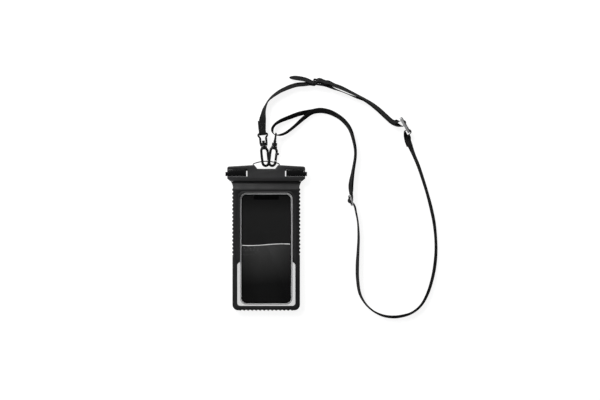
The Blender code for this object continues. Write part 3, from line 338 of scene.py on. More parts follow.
# %% [markdown]
# ## The rubber rim
# The rim is rubber moulded over the edge of the film. Its grip ribs are one
# small shape repeated along each edge, which is what Geometry Nodes are for:
# the edge is resampled into even points, and a rib stands on each.

# %% Rim halves and seal strips
for node in ("front_frame", "back_frame"):
    half = rounded(welded(node, node + "_rubber"), 0.3 * MM)
    dress(half, RUBBER_FINISH, "case", "black_rubber", node)
for node in ("front_seal_strip", "back_seal_strip"):
    repaint(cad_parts[node], SILICONE_FINISH)
print("rim halves dressed")


# %% A node tree that stands a small shape on even points of a path
def row_tree(name, finish, by):
    """Small ellipsoids along a path: by Count, a number of them, or by Length, a spacing."""
    tree = bpy.data.node_groups.new(name, "GeometryNodeTree")
    kinds = {"Geometry": "Geometry", by: {"Count": "Int", "Length": "Float"}[by],
             "Size": "Vector"}
    for label, kind in kinds.items():
        tree.interface.new_socket(label, in_out="INPUT", socket_type="NodeSocket" + kind)
    tree.interface.new_socket("Geometry", in_out="OUTPUT", socket_type="NodeSocketGeometry")
    given = add_node(tree, "NodeGroupInput").outputs
    path = add_node(tree, "GeometryNodeMeshToCurve", {"Mesh": given["Geometry"]})
    even = add_node(tree, "GeometryNodeResampleCurve",
                    {"Curve": path.outputs["Curve"], by: given[by]}, mode=by.upper())
    shape = add_node(tree, "GeometryNodeMeshUVSphere", {"Segments": 10, "Rings": 8, "Radius": 1.0})
    along = add_node(tree, "GeometryNodeInputTangent")
    turn = add_node(tree, "FunctionNodeAlignRotationToVector",
                    {"Vector": along.outputs["Tangent"]}, axis="X")
    stand = add_node(tree, "GeometryNodeInstanceOnPoints",
                     {"Points": even.outputs["Curve"], "Instance": shape.outputs["Mesh"],
                      "Rotation": turn.outputs["Rotation"], "Scale": given["Size"]})
    real = add_node(tree, "GeometryNodeRealizeInstances", {"Geometry": stand.outputs["Instances"]})
    soft = add_node(tree, "GeometryNodeSetShadeSmooth", {"Geometry": real.outputs["Geometry"]})
    paint = add_node(tree, "GeometryNodeSetMaterial",
                     {"Geometry": soft.outputs["Geometry"], "Material": finish})
    add_node(tree, "NodeGroupOutput", {"Geometry": paint.outputs["Geometry"]})
    return tree


def grow(name, lines, tree, values):
    """Run a node tree on polylines and return the result as a plain mesh object."""
    mesh = bpy.data.meshes.new(name + "_path")
    points, edges = [], []
    for line in lines:
        first = len(points)
        points += [tuple(point) for point in line]
        edges += [(first + i, first + i + 1) for i in range(len(line) - 1)]
    mesh.from_pydata(points, edges, [])
    base = placed(name + "_path", mesh)
    change = base.modifiers.new(name, "NODES")
    change.node_group = tree
    sockets = {item.name: item.identifier for item in tree.interface.items_tree
               if item.in_out == "INPUT"}
    for label, value in values.items():
        change[sockets[label]] = value
    bpy.context.view_layer.update()
    graph = bpy.context.evaluated_depsgraph_get()
    made = placed(name, bpy.data.meshes.new_from_object(base.evaluated_get(graph)))
    bpy.data.objects.remove(base)
    return made


# %% Grip ribs on three edges
RIB_TREE = row_tree("ribs_on_an_edge", RUBBER_FINISH, "Count")
RIB = (1.9 * MM, 1.7 * MM, 5.5 * MM)
RIB_INSET = 1.05 * MM  # how far a rib's centre lies inside the rim's edge
SEAM = 5.9 * MM
SIDE_RIBS, BOTTOM_RIBS = 17, 14
side_edge = 47.2 * MM - RIB_INSET
side_top = 66.85 * MM
side_pitch = 93.0 * MM / SIDE_RIBS
bottom_edge = -104.6 * MM + RIB_INSET
bottom_half = 39.2 * MM
bottom_end = bottom_half - bottom_half / BOTTOM_RIBS
side_lines = [[(x, side_top - side_pitch / 2, SEAM),
               (x, side_top - side_pitch * (SIDE_RIBS - 0.5), SEAM)]
              for x in (-side_edge, side_edge)]
bottom_line = [[(bottom_end, bottom_edge, SEAM), (-bottom_end, bottom_edge, SEAM)]]
for name, lines, count in (("side_ribs", side_lines, SIDE_RIBS),
                           ("bottom_ribs", bottom_line, BOTTOM_RIBS)):
    ribs = grow("rubber_" + name, lines, RIB_TREE, {"Count": count, "Size": RIB})
    dress(ribs, RUBBER_FINISH, "case", "black_rubber")
    print(name, len(ribs.data.polygons), "faces")

# %% [markdown]
# ## Clear film
# The pouch's two windows are soft clear film. A glass shader would put the
# phone behind it in shadow, because light does not pass through glass to
# what it lights. A thin, nearly transparent skin lets the light through and
# still adds a little haze over the white table.


# %% Film finish
def film_finish():
    """Thin clear film: mostly see-through, with a soft gloss and slow waves."""
    made, tree, shader = new_finish("clear_soft_film", {
        "Base Color": (0.012, 0.0125, 0.013, 1), "Roughness": 0.12,
        "Specular IOR Level": 0.08, "Alpha": 0.075})
    where = add_node(tree, "ShaderNodeTexCoord").outputs["Object"]
    waves = add_node(tree, "ShaderNodeTexNoise", {"Vector": where, "Scale": 14.0, "Detail": 0.0})
    bumped(tree, shader, waves.outputs["Fac"], 0.15, 1.0 * MM)
    return made


FILM_FINISH = film_finish()
for node in ("front_window", "back_window"):
    repaint(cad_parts[node], FILM_FINISH)
print("films dressed")

# %% [markdown]
# ## The phone
# The phone is any phone: a thin anodised frame and black glass. Its picture is
# made up here from arithmetic on the surface's own coordinates: a dark ground,
# a pale swell line, a charcoal area under it and a few small bubbles. A recess
# at the top edge and a thin margin stay black.

# %% Where the picture lies on the glass
PICTURE_HALF = 33.4 * MM
PICTURE_TOP, PICTURE_LOW = 55.8 * MM, -93.4 * MM
RECESS_HALF, RECESS_LOW = 17.5 * MM, 50.0 * MM
BLEND = 0.2 * MM  # the soft edge of every area
SWELL_LEVEL = -12.8 * MM
SWELL_HEIGHT = 1.2 * MM
SWELL_BENDS = 70.0  # radians a metre
LINE_HALF = 0.6 * MM
BUBBLES = 260.0  # cells a metre


def screen_finish():
    """Black glass with a plain two-tone picture behind it."""
    made, tree, shader = new_finish("phone_glass_picture",
                                    {"Roughness": 0.06, "Specular IOR Level": 0.2})
    where = add_node(tree, "ShaderNodeTexCoord").outputs["Object"]
    split = add_node(tree, "ShaderNodeSeparateXYZ", {0: where})
    x, y = split.outputs["X"], split.outputs["Y"]

    def product(*values):
        """All the values multiplied."""
        total = values[0]
        for value in values[1:]:
            total = maths(tree, "MULTIPLY", total, value)
        return total

    # The swell line, and how far each point lies above it.
    aside = maths(tree, "ABSOLUTE", x)
    wave = product(maths(tree, "SINE", product(x, SWELL_BENDS)), SWELL_HEIGHT)
    above = maths(tree, "SUBTRACT", y, maths(tree, "ADD", wave, SWELL_LEVEL))
    under = ramp(tree, above, BLEND, -BLEND)
    line = ramp(tree, maths(tree, "ABSOLUTE", above), LINE_HALF, LINE_HALF / 2, 0.0, 1.1)
    # The ground darkens upwards, and the water downwards and towards both sides.
    ground = product(maths(tree, "SUBTRACT", 1.0, under),
                     ramp(tree, y, 0.030, 0.054, 0.017, 0.006))
    water = product(ramp(tree, above, 0.0, -0.055, 0.064, 0.010),
                    ramp(tree, aside, 0.01, 0.035, 1.0, 0.55))
    cells = add_node(tree, "ShaderNodeTexVoronoi", {"Vector": where, "Scale": BUBBLES},
                     voronoi_dimensions="2D")
    bubbles = product(ramp(tree, cells.outputs["Distance"], 0.22, 0.12, 0.0, 0.09),
                      ramp(tree, above, -0.016, -0.006), ramp(tree, x, -0.004, -0.02))
    water = product(maths(tree, "ADD", water, bubbles), under)
    picture = maths(tree, "MAXIMUM", maths(tree, "ADD", ground, water), line)
    # The margin and the recess stay black.
    recess = product(ramp(tree, aside, RECESS_HALF, RECESS_HALF - BLEND),
                     ramp(tree, y, RECESS_LOW, RECESS_LOW + BLEND))
    grey = product(picture, ramp(tree, aside, PICTURE_HALF, PICTURE_HALF - BLEND),
                   ramp(tree, y, PICTURE_TOP, PICTURE_TOP - BLEND),
                   ramp(tree, y, PICTURE_LOW, PICTURE_LOW + BLEND),
                   maths(tree, "SUBTRACT", 1.0, recess))
    colour = add_node(tree, "ShaderNodeCombineColor", {"Red": grey, "Green": grey, "Blue": grey})
    feed(tree, shader, {"Base Color": colour.outputs[0]})
    return made


# %% Phone frame and cover glass
phone_frame = rounded(welded("enclosed_phone_body", "phone_shell"), 0.4 * MM, 3)
dress(phone_frame, PHONE_EDGE, "case", "phone_frame", "enclosed_phone_body")
glass = rounded(welded("enclosed_phone_screen", "phone_cover_glass"), 0.25 * MM)
dress(glass, screen_finish(), "case", "phone_glass", "enclosed_phone_screen")
print("phone dressed")

# %% [markdown]
# ## Routes of the webbing
# Webbing bends easily one way and hardly at all the other, so a strap is
# a ribbon that turns on its long edge as it runs. Its route is a short list
# of chosen points, each with a lean: 0 degrees is flat on the table and 90 is
# on edge. One smooth curve runs through them all. The same points shaped the
# solids, so the dressed straps lie where the solids do. Only the lower one is
# laid a little flatter, as wide as it looks from above.

# %% Sliders place the webbing that passes through them
WEBBING_WIDTH = 10.0 * MM


class Slider:
    """Where a slider stands: along it, across it and out of its face."""

    def __init__(self, centre, heading, lean):
        self.centre = Vector(centre) * MM
        angle = math.radians(heading)
        tilt = math.radians(lean)
        self.along = Vector((math.cos(angle), math.sin(angle), 0.0))
        side = Vector((0, 0, 1)).cross(self.along)
        self.across = -math.cos(tilt) * side + math.sin(tilt) * Vector((0, 0, 1))
        self.out = self.across.cross(self.along)

    def at(self, along, out):
        """A route point, from millimetres along and out of the slider."""
        place = self.centre + self.along * along * MM + self.out * out * MM
        return (*(place / MM), self.across)


top = Slider((74.5, 214.3, 6.8), -9.0, 55.0)
ladder = Slider((194.2, 154.7, 7.2), -59.8, 80.0)
lower = Slider((118.5, 49.2, 7.2), -71.1, 100.0)

# %% Points moved out of the webbing's face
WEBBING_PLY = 0.8  # millimetres from the middle of a doubled run to the middle of each ply


def beside(points, distance):
    """A run of route points moved out of the webbing's face, to the left of its direction."""
    moved = []
    for index, (x, y, z, lean) in enumerate(points):
        before = points[max(index - 1, 0)]
        after = points[min(index + 1, len(points) - 1)]
        along = Vector((after[0] - before[0], after[1] - before[1])).normalized()
        level = distance * math.sin(math.radians(lean))
        rise = -distance * math.cos(math.radians(lean))
        moved.append((x - along.y * level, y + along.x * level, z + rise, lean))
    return moved


# %% Upper strap route: x, y, z in millimetres and the lean
UPPER = [(-6.9, 160.6, 5.5, 0), (-6.5, 155.0, 6.2, 0), (-5.9, 149.0, 6.8, 0),
         (-5.5, 146.0, 6.2, 0), (-5.1, 142.5, 5.85, 0), (-5.0, 141.2, 6.4, 0),
         (-4.9, 140.65, 7.7, 0), (-5.0, 141.2, 9.0, 0), (-5.1, 142.5, 9.55, 0),
         (-5.5, 146.0, 9.1, 0), (-5.6, 149.0, 8.6, 0), (-5.5, 155.0, 8.5, 2),
         (-5.2, 161.5, 8.4, 14), (-4.3, 168.7, 7.2, 45), (-3.1, 175.7, 6.4, 61),
         (-0.5, 182.7, 5.7, 75), (2.3, 188.0, 5.5, 80), (6.9, 193.0, 5.4, 73),
         (12.3, 197.3, 5.3, 66), (19.4, 202.0, 5.1, 61), (26.7, 205.5, 4.9, 57),
         (33.4, 208.3, 4.8, 54), (43.0, 211.0, 4.9, 54), (54.0, 211.9, 5.6, 55)]
UPPER += [top.at(-12.5, -4.2), top.at(-8.0, -4.1), top.at(-6.1, -3.7),
          top.at(-4.6, -2.3), top.at(-2.8, 0.2), top.at(-1.6, 1.8),
          top.at(0.0, 2.0), top.at(1.4, 1.8), top.at(2.8, 0.6),
          top.at(4.6, -1.0), top.at(6.5, -1.75), top.at(8.0, -1.95),
          top.at(12.0, -2.6)]
pair = [(136.9, 190.4, 5.4, 109), (147.6, 183.7, 5.3, 116), (158.6, 175.0, 5.2, 122),
        (168.3, 166.0, 5.2, 123), (177.6, 158.4, 5.2, 126)]
UPPER += [(94.5, 205.6, 5.6, 76), (105.0, 201.7, 5.4, 85), (116.0, 197.2, 5.4, 85),
          (126.8, 193.0, 5.3, 77)]
UPPER += [(x, y, z, 180 - lean) for x, y, z, lean in beside(pair, -WEBBING_PLY)]
UPPER += [(184.0, 154.8, 5.7, 60), ladder.at(-0.6, -4.6), ladder.at(0.3, -2.0),
          ladder.at(-0.8, 0.6), ladder.at(-2.2, 2.2), ladder.at(-3.7, 2.7),
          ladder.at(-5.2, 2.2), ladder.at(-6.6, 0.6), ladder.at(-7.9, -2.0),
          ladder.at(-8.5, -4.6), (183.3, 159.6, 6.1, 122)]
UPPER += list(reversed(beside(pair, WEBBING_PLY)))
UPPER += [(127.9, 195.8, 5.6, 111), (116.0, 201.7, 5.5, 116), (104.5, 207.1, 5.9, 122),
          (95.0, 210.5, 6.7, 122)]
UPPER += [top.at(12.5, 2.3), top.at(8.0, 1.9), top.at(4.3, 2.9),
          top.at(1.3, 3.8), top.at(-0.4, 4.0), top.at(-2.6, 3.5),
          top.at(-4.6, 1.0), top.at(-5.9, -1.5), top.at(-7.4, -2.3),
          top.at(-9.4, -2.3), top.at(-12.0, -1.4)]
UPPER += [(54.8, 218.3, 5.6, 126), (47.2, 219.9, 5.2, 128), (40.2, 220.8, 5.0, 128),
          (32.3, 221.2, 4.9, 128)]
print("upper strap:", len(UPPER), "route points")

# %% Lower strap route
LOWER = [(200.1, 124.8, 4.7, 56), (199.4, 127.2, 4.7, 54), (197.3, 133.0, 4.9, 54),
         (195.6, 138.8, 5.5, 62)]
LOWER += [ladder.at(6.9, -4.2), ladder.at(7.3, -1.6), ladder.at(8.0, 0.8),
          ladder.at(9.4, 2.3), ladder.at(11.1, 2.7), ladder.at(12.9, 2.2),
          ladder.at(14.0, 0.6), ladder.at(14.0, -1.5)]
LOWER += [(199.6, 138.2, 6.6, 116), (199.1, 133.4, 5.9, 126), (201.0, 127.0, 5.8, 126),
          (203.2, 121.2, 5.4, 119), (206.3, 113.6, 5.1, 112), (212.6, 98.6, 5.1, 111),
          (219.4, 78.6, 5.1, 109), (225.6, 58.4, 5.1, 108), (230.8, 38.5, 5.1, 110),
          (234.9, 18.7, 5.1, 109), (237.1, -1.1, 5.1, 107), (237.7, -21.1, 5.1, 108),
          (236.1, -41.3, 5.1, 110), (232.3, -61.4, 5.1, 109), (225.7, -81.9, 5.1, 108),
          (216.4, -98.2, 5.1, 105), (204.1, -108.2, 5.1, 104), (190.5, -112.7, 5.1, 107),
          (177.6, -114.1, 5.1, 107), (163.4, -112.1, 5.2, 103), (150.2, -105.9, 5.2, 98),
          (139.4, -96.1, 5.3, 98), (131.3, -81.9, 5.3, 103), (127.9, -61.3, 5.2, 106),
          (127.6, -41.3, 5.2, 107), (128.6, -21.1, 5.2, 103), (129.3, -1.1, 5.3, 100),
          (128.2, 18.9, 5.6, 96), (125.6, 33.0, 6.3, 97)]
LOWER += [lower.at(9.8, 2.4), lower.at(6.4, 1.9), lower.at(4.8, 1.4),
          lower.at(3.7, -0.6), lower.at(2.0, -3.0), lower.at(0.0, -3.6),
          lower.at(-1.8, -3.0), lower.at(-3.6, -0.8), lower.at(-4.9, 1.35),
          lower.at(-6.5, 1.95)]
double = [(118.6, 64.5, 5.9, 109), (118.7, 72.0, 5.5, 111), (121.4, 89.3, 5.4, 100),
          (124.6, 109.3, 5.4, 96), (124.8, 119.4, 5.4, 96), (122.9, 131.0, 5.4, 98),
          (117.5, 148.6, 5.4, 102), (110.9, 158.1, 5.4, 105), (103.1, 165.2, 5.4, 106),
          (89.2, 172.6, 5.4, 111), (75.6, 175.1, 5.4, 114), (63.5, 173.0, 5.3, 115)]
LOWER += beside(double, WEBBING_PLY)
LOWER += [(54.6, 166.0, 5.1, 112), (48.2, 160.6, 5.1, 109), (41.2, 154.3, 5.1, 105),
          (34.6, 148.8, 5.3, 103), (26.8, 143.3, 6.0, 102), (20.0, 140.8, 7.0, 99),
          (15.6, 140.5, 7.7, 92), (13.2, 140.7, 7.7, 90), (11.2, 141.6, 7.7, 90),
          (9.4, 143.6, 7.6, 86), (8.5, 146.6, 7.3, 79), (9.0, 150.6, 6.7, 78),
          (12.3, 155.3, 6.0, 78), (19.2, 160.0, 5.5, 73), (33.2, 165.7, 5.1, 67),
          (47.4, 170.7, 5.1, 65)]
back = [(x, y, z, 180 - lean) for x, y, z, lean in beside(double, -WEBBING_PLY)]
LOWER += list(reversed(back))
LOWER += [lower.at(-8.9, 4.7), lower.at(-6.4, 4.0), lower.at(-3.0, 3.1),
          lower.at(-0.3, 2.0), lower.at(1.2, 1.65), lower.at(2.0, 0.7),
          lower.at(2.0, -0.7), lower.at(1.2, -1.6)]
print("lower strap:", len(LOWER), "route points")


# %% One smooth ribbon line through a route
def rungs_of(route, opening=1.0):
    """Each route point with its width direction: six numbers a point."""
    rungs = []
    side = None
    for index, (x, y, z, lean) in enumerate(route):
        before = route[max(index - 1, 0)]
        after = route[min(index + 1, len(route) - 1)]
        along = Vector(after[:3]) - Vector(before[:3])
        level = Vector((-along.y, along.x, 0.0))
        if level.length > 0.4 * along.length:
            level.normalize()
            if side is not None and level.dot(side) < 0:
                level = -level
            side = level
        across = lean
        if not isinstance(lean, Vector):
            tilt = math.radians(lean)
            across = math.cos(tilt) * opening * side + math.sin(tilt) * Vector((0, 0, 1))
        rungs.append(Vector((x, y, z, *across)))
    return rungs


SPANS = (((0, 1), (1, 2), (2, 3)), ((0, 2), (1, 3)), ((1, 2),))


def catmull_rom(points, knots, here):
    """One point of a centripetal Catmull-Rom curve, mixed in three rounds."""
    level = list(points)
    for spans in SPANS:
        mixed = []
        for index, (low, high) in enumerate(spans):
            share = (here - knots[low]) / (knots[high] - knots[low])
            mixed.append(level[index] * (1 - share) + level[index + 1] * share)
        level = mixed
    return level[0]


def smooth_line(rungs, step):
    """Even steps along one smooth curve through points of any number of values."""
    points = [2 * rungs[0] - rungs[1]] + rungs + [2 * rungs[-1] - rungs[-2]]
    rows = []
    for index in range(1, len(points) - 2):
        four = points[index - 1:index + 3]
        knots = [0.0]
        for before, after in zip(four, four[1:]):
            knots.append(knots[-1] + math.sqrt((after - before).xyz.length))
        count = max(1, round((four[2] - four[1]).xyz.length / step))
        for piece in range(count):
            here = knots[1] + (knots[2] - knots[1]) * piece / count
            rows.append(catmull_rom(four, knots, here))
    rows.append(rungs[-1])
    return rows


# %% [markdown]
# ## Woven tape
# Each strap is one mesh: a flat oval section swept along the ribbon line, with
# a thin raised selvedge on both edges. Its UV map counts millimetres along
# and across the tape, so the weave keeps its size round every bend.

# %% Sweep the tape section along a route
SECTION = [(-1.0, 0.0), (-0.985, 0.8), (-0.93, 1.0), (-0.86, 0.84), (0.0, 0.9), (0.86, 0.84),
           (0.93, 1.0), (0.985, 0.8), (1.0, 0.0), (0.985, -0.8), (0.93, -1.0), (0.86, -0.84),
           (0.0, -0.9), (-0.86, -0.84), (-0.93, -1.0), (-0.985, -0.8)]
HALF_WIDE = WEBBING_WIDTH / 2
HALF_THICK = 0.5 * MM
TAPE_STEP = 1.6  # millimetres
TAIL_POINT = 9.0 * MM
LOWER_OPENING = 1.4  # the lower strap lies up to ten degrees flatter than its route says


def tape(name, route, pointed=False, opening=1.0):
    """A strap mesh with its UV map, the centre line that it follows and its length."""
    rows = smooth_line(rungs_of(route, opening), TAPE_STEP)
    centres = [row.xyz * MM for row in rows]
    runs = [0.0]
    for before, after in zip(centres, centres[1:]):
        runs.append(runs[-1] + (after - before).length)
    work = bmesh.new()
    layer = work.loops.layers.uv.new("tape")
    rings = []
    for index, row in enumerate(rows):
        along = centres[min(index + 1, len(rows) - 1)] - centres[max(index - 1, 0)]
        across = Vector(row[3:]).normalized()
        out = along.normalized().cross(across).normalized()
        half = HALF_WIDE
        left = (centres[index] - centres[-1]).length
        if pointed and left < TAIL_POINT:
            half *= 0.15 + 0.85 * math.sqrt(left / TAIL_POINT)
        rings.append([work.verts.new(centres[index] + across * wide * half
                                     + out * thick * HALF_THICK) for wide, thick in SECTION])
    for index in range(len(rings) - 1):
        for i in range(len(SECTION)):
            j = (i + 1) % len(SECTION)
            corners = ((index, i), (index, j), (index + 1, j), (index + 1, i))
            face = work.faces.new([rings[ring][which] for ring, which in corners])
            face.smooth = True
            for loop, (ring, which) in zip(face.loops, corners):
                loop[layer].uv = (runs[ring] / MM, SECTION[which][0] * HALF_WIDE / MM)
    work.faces.new(rings[0])
    work.faces.new(list(reversed(rings[-1])))
    bmesh.ops.recalc_face_normals(work, faces=work.faces)
    return placed(name, mesh_from(work, name)), centres, runs[-1]


# %% The weave as a material
def weave_finish():
    """Black polyester tape: fine yarns along it, darker gaps and a soft sheen."""
    made, tree, shader = new_finish("black_woven_tape", {
        "Roughness": 0.9, "Specular IOR Level": 0.08, "Sheen Weight": 0.055,
        "Sheen Roughness": 0.6})
    where = add_node(tree, "ShaderNodeUVMap", uv_map="tape").outputs[0]
    yarn = add_node(tree, "ShaderNodeTexBrick", {
        "Vector": where, "Scale": 1.0, "Brick Width": 1.5, "Row Height": 0.55,
        "Mortar Size": 0.07, "Mortar Smooth": 0.9, "Color1": (0.006, 0.006, 0.0063, 1),
        "Color2": (0.01, 0.01, 0.0103, 1), "Mortar": (0.004, 0.004, 0.004, 1)}, offset=0.5)
    feed(tree, shader, {"Base Color": yarn.outputs["Color"]})
    bumped(tree, shader, yarn.outputs["Fac"], 0.7, 0.2 * MM, invert=True)
    return made


WEAVE = weave_finish()
upper_tape, upper_line, upper_length = tape("upper_webbing", UPPER, pointed=True)
lower_tape, lower_line, lower_length = tape("lower_webbing", LOWER, opening=LOWER_OPENING)
dress(upper_tape, WEAVE, "case", "black_webbing", "upper_strap")
dress(lower_tape, WEAVE, "case", "black_webbing", "lower_strap")
print("strap lengths:", round(upper_length, 3), round(lower_length, 3), "m")

# %% [markdown]
# ## Snap hooks
# A moulded snap hook is a round bar bent into a long loop. The CAD solid has
# few sides, so the hook is swept again with many, through the same points in
# the hook's own tilted frame. Its fork, bores and collar are cut as they are
# on the solid.


# %% Round bars and rods
def mesh_of(curve_item, name):
    """A closed mesh object made from a curve object, which is removed."""
    bpy.context.view_layer.update()
    graph = bpy.context.evaluated_depsgraph_get()
    mesh = bpy.data.meshes.new_from_object(curve_item.evaluated_get(graph))
    mesh.transform(curve_item.matrix_world)
    bpy.data.objects.remove(curve_item)
    work = bmesh.new()
    work.from_mesh(mesh)
    bmesh.ops.remove_doubles(work, verts=work.verts, dist=0.005 * MM)
    bmesh.ops.recalc_face_normals(work, faces=work.faces)
    work.to_mesh(mesh)
    work.free()
    return placed(name, mesh)


def bar(name, points, radius, turn=Matrix()):
    """A round bar along one smooth curve through points in metres."""
    line = smooth_line([Vector(point) / MM for point in points], 0.7)
    curve = bpy.data.curves.new(name, "CURVE")
    curve.dimensions = "3D"
    curve.bevel_depth = radius
    curve.bevel_resolution = 6
    curve.use_fill_caps = True
    spline = curve.splines.new("POLY")
    spline.points.add(len(line) - 1)
    for point, place in zip(spline.points, line):
        point.co = (*(Vector(place) * MM), 1.0)
    item = placed(name, curve)
    item.matrix_world = turn
    return mesh_of(item, name)


def rod(name, radius, start, end, turn=Matrix()):
    """A straight cylinder between two points."""
    start, end = Vector(start), Vector(end)
    span = end - start
    work = bmesh.new()
    bmesh.ops.create_cone(work, cap_ends=True, segments=32, radius1=radius,
                          radius2=radius, depth=span.length)
    mesh = mesh_from(work, name)
    face = span.to_track_quat("Z", "Y").to_matrix().to_4x4()
    mesh.transform(turn @ Matrix.Translation((start + end) / 2) @ face)
    return placed(name, mesh)


def block(name, low, high, turn=Matrix()):
    """A box between two corners."""
    low, high = Vector(low), Vector(high)
    work = bmesh.new()
    bmesh.ops.create_cube(work, size=1.0)
    bmesh.ops.scale(work, vec=high - low, verts=work.verts)
    bmesh.ops.translate(work, vec=(low + high) / 2, verts=work.verts)
    mesh = mesh_from(work, name)
    mesh.transform(turn)
    return placed(name, mesh)


def merge(item, tool, operation="DIFFERENCE"):
    """Apply a Boolean with a tool object, and remove the tool."""
    change = item.modifiers.new("shape", "BOOLEAN")
    change.operation = operation
    change.object = tool
    bpy.context.view_layer.update()
    graph = bpy.context.evaluated_depsgraph_get()
    mesh = bpy.data.meshes.new_from_object(item.evaluated_get(graph))
    item.modifiers.remove(change)
    item.data = mesh
    bpy.data.objects.remove(tool)


# %% Sizes of a hook, along its own stem
HOOK_WIRE = 3.6 * MM
HOOK_RADIUS = HOOK_WIRE / 2
HOOK_HALF = 5.2 * MM
HOOK_NOSE = 2.0 * MM
HOOK_PIVOT = 15.6 * MM
HOOK_SHOULDER = 20.5 * MM
HOOK_NECK = 4.2 * MM
ARC_STEPS = 14
FORK_HALF = 0.75 * MM
STEM_RADIUS = 1.2 * MM
HEAD_RADIUS = 2.0 * MM
COLLAR_RADIUS = 3.6 * MM
COLLAR_BORE = 1.5 * MM
COLLAR_LOW = HOOK_SHOULDER + HOOK_RADIUS + 0.3 * MM
COLLAR_HIGH = COLLAR_LOW + 4.6 * MM
STEM_TOP = COLLAR_HIGH + 3.1 * MM
EYE_WIRE = 1.25 * MM
EYE_LEG = 1.5 * MM
EYE_WAIST = 4.2 * MM
EYE_HALF = HALF_WIDE + 1.3 * MM
EYE_HIGH = 40.0 * MM
EYE_BEND = 1.2 * MM


def hook_body(side, turn):
    """Loop, arm, stem and fork of one hook."""
    path = [(HOOK_HALF, HOOK_NOSE, 0)]
    for step in range(ARC_STEPS + 1):
        angle = -math.pi * step / ARC_STEPS
        path.append((HOOK_HALF * math.cos(angle), HOOK_HALF * math.sin(angle), 0))
    path += [(-HOOK_HALF, HOOK_PIVOT, 0),
             (-HOOK_HALF * 0.9, HOOK_SHOULDER - HOOK_RADIUS * 1.4, 0),
             (-HOOK_HALF * 0.5, HOOK_SHOULDER - HOOK_RADIUS * 0.3, 0),
             (0, HOOK_SHOULDER, 0),
             (HOOK_HALF * 0.45, HOOK_SHOULDER - HOOK_RADIUS * 0.6, 0),
             (HOOK_HALF * 0.96, HOOK_PIVOT + HOOK_RADIUS * 0.4, 0),
             (HOOK_HALF, HOOK_PIVOT - HOOK_RADIUS * 0.83, 0)]
    body = bar(side + "_hook_loop", path, HOOK_RADIUS, turn)
    merge(body, rod("neck", HOOK_NECK, (0, HOOK_SHOULDER - HOOK_RADIUS * 1.5, 0),
                    (0, HOOK_SHOULDER + HOOK_RADIUS, 0), turn), "UNION")
    merge(body, rod("stem", STEM_RADIUS, (0, HOOK_SHOULDER - HOOK_RADIUS * 0.4, 0),
                    (0, STEM_TOP - 0.3 * MM, 0), turn), "UNION")
    merge(body, rod("head", HEAD_RADIUS, (0, COLLAR_HIGH + 0.3 * MM, 0),
                    (0, STEM_TOP, 0), turn), "UNION")
    merge(body, block("fork", (HOOK_HALF - HOOK_WIRE, HOOK_PIVOT - HOOK_RADIUS * 1.83, -FORK_HALF),
                      (HOOK_HALF + HOOK_WIRE, HOOK_PIVOT + HOOK_RADIUS, FORK_HALF), turn))
    merge(body, rod("bore", FORK_HALF, (HOOK_HALF, HOOK_PIVOT, -HOOK_WIRE),
                    (HOOK_HALF, HOOK_PIVOT, HOOK_WIRE), turn))
    return body


def hook_eye(side, turn):
    """Collar and webbing ring of one hook."""
    leg_end = EYE_HIGH - EYE_LEG * 3.8
    leg = [(3.9 * MM, COLLAR_LOW + 0.3 * MM, 0), (EYE_WAIST, COLLAR_HIGH, 0),
           (EYE_WAIST, COLLAR_HIGH + 2.8 * MM, 0), (EYE_WAIST, leg_end, 0),
           (EYE_HALF, EYE_HIGH - EYE_BEND * 2.2, 0), (EYE_HALF, EYE_HIGH - EYE_BEND, 0),
           (EYE_HALF - EYE_BEND * 0.3, EYE_HIGH - EYE_BEND * 0.3, 0),
           (EYE_HALF - EYE_BEND, EYE_HIGH, 0)]
    other = [(-x, y, z) for x, y, z in reversed(leg)]
    ring = bar(side + "_hook_ring", leg + other, EYE_WIRE, turn)
    for sign in (-1, 1):
        merge(ring, rod("leg", EYE_LEG, (sign * EYE_WAIST, COLLAR_HIGH - EYE_LEG, 0),
                        (sign * EYE_WAIST, leg_end, 0), turn), "UNION")
    merge(ring, rod("collar", COLLAR_RADIUS, (0, COLLAR_LOW, 0), (0, COLLAR_HIGH, 0), turn),
          "UNION")
    merge(ring, rod("collar_bore", COLLAR_BORE, (0, COLLAR_LOW - MM, 0),
                    (0, COLLAR_HIGH + MM, 0), turn))
    return ring


# %% Both hooks on their bail
BAIL_LEVEL = 7.7 * MM
HOOK_TILT = 34.0  # degrees out of the table's plane
# x and y in millimetres, the heading, and the eye's own turn on its stem
HOOKS = {"left": (-0.9, 102.7, 6.0, 0.0), "right": (8.4, 102.7, -7.4, 90.0)}

for side, (x, y, heading, eye_turn) in HOOKS.items():
    level = (Matrix.Translation((x * MM, y * MM, BAIL_LEVEL))
             @ Matrix.Rotation(math.radians(heading), 4, "Z"))
    tilted = level @ Matrix.Rotation(math.radians(HOOK_TILT), 4, "Y")
    turned = level @ Matrix.Rotation(math.radians(eye_turn), 4, "Y")
    loop = rounded(hook_body(side, tilted), 0.2 * MM, angle=40.0)
    dress(loop, HOOK_FINISH, side + "_hook", "black_plastic", side + "_hook_body")
    ring = rounded(hook_eye(side, turned), 0.25 * MM, angle=40.0)
    dress(ring, HOOK_FINISH, "case", "black_plastic", side + "_hook_eye")
    gate = rounded(welded(side + "_hook_gate", side + "_gate_arm"), 0.15 * MM, angle=50.0)
    dress(gate, DARK_WIRE, side + "_gate", "dark_steel", side + "_hook_gate")
    repaint(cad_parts[side + "_hook_gate_pin"], DARK_WIRE)
print("hooks:", len(HOOKS))

# %% [markdown]
# ## Bail and sliders
# The bail is bent from one wire, so it is swept again through its own arc. The
# sliders are flat castings: a dressed copy with rounded edges is enough.

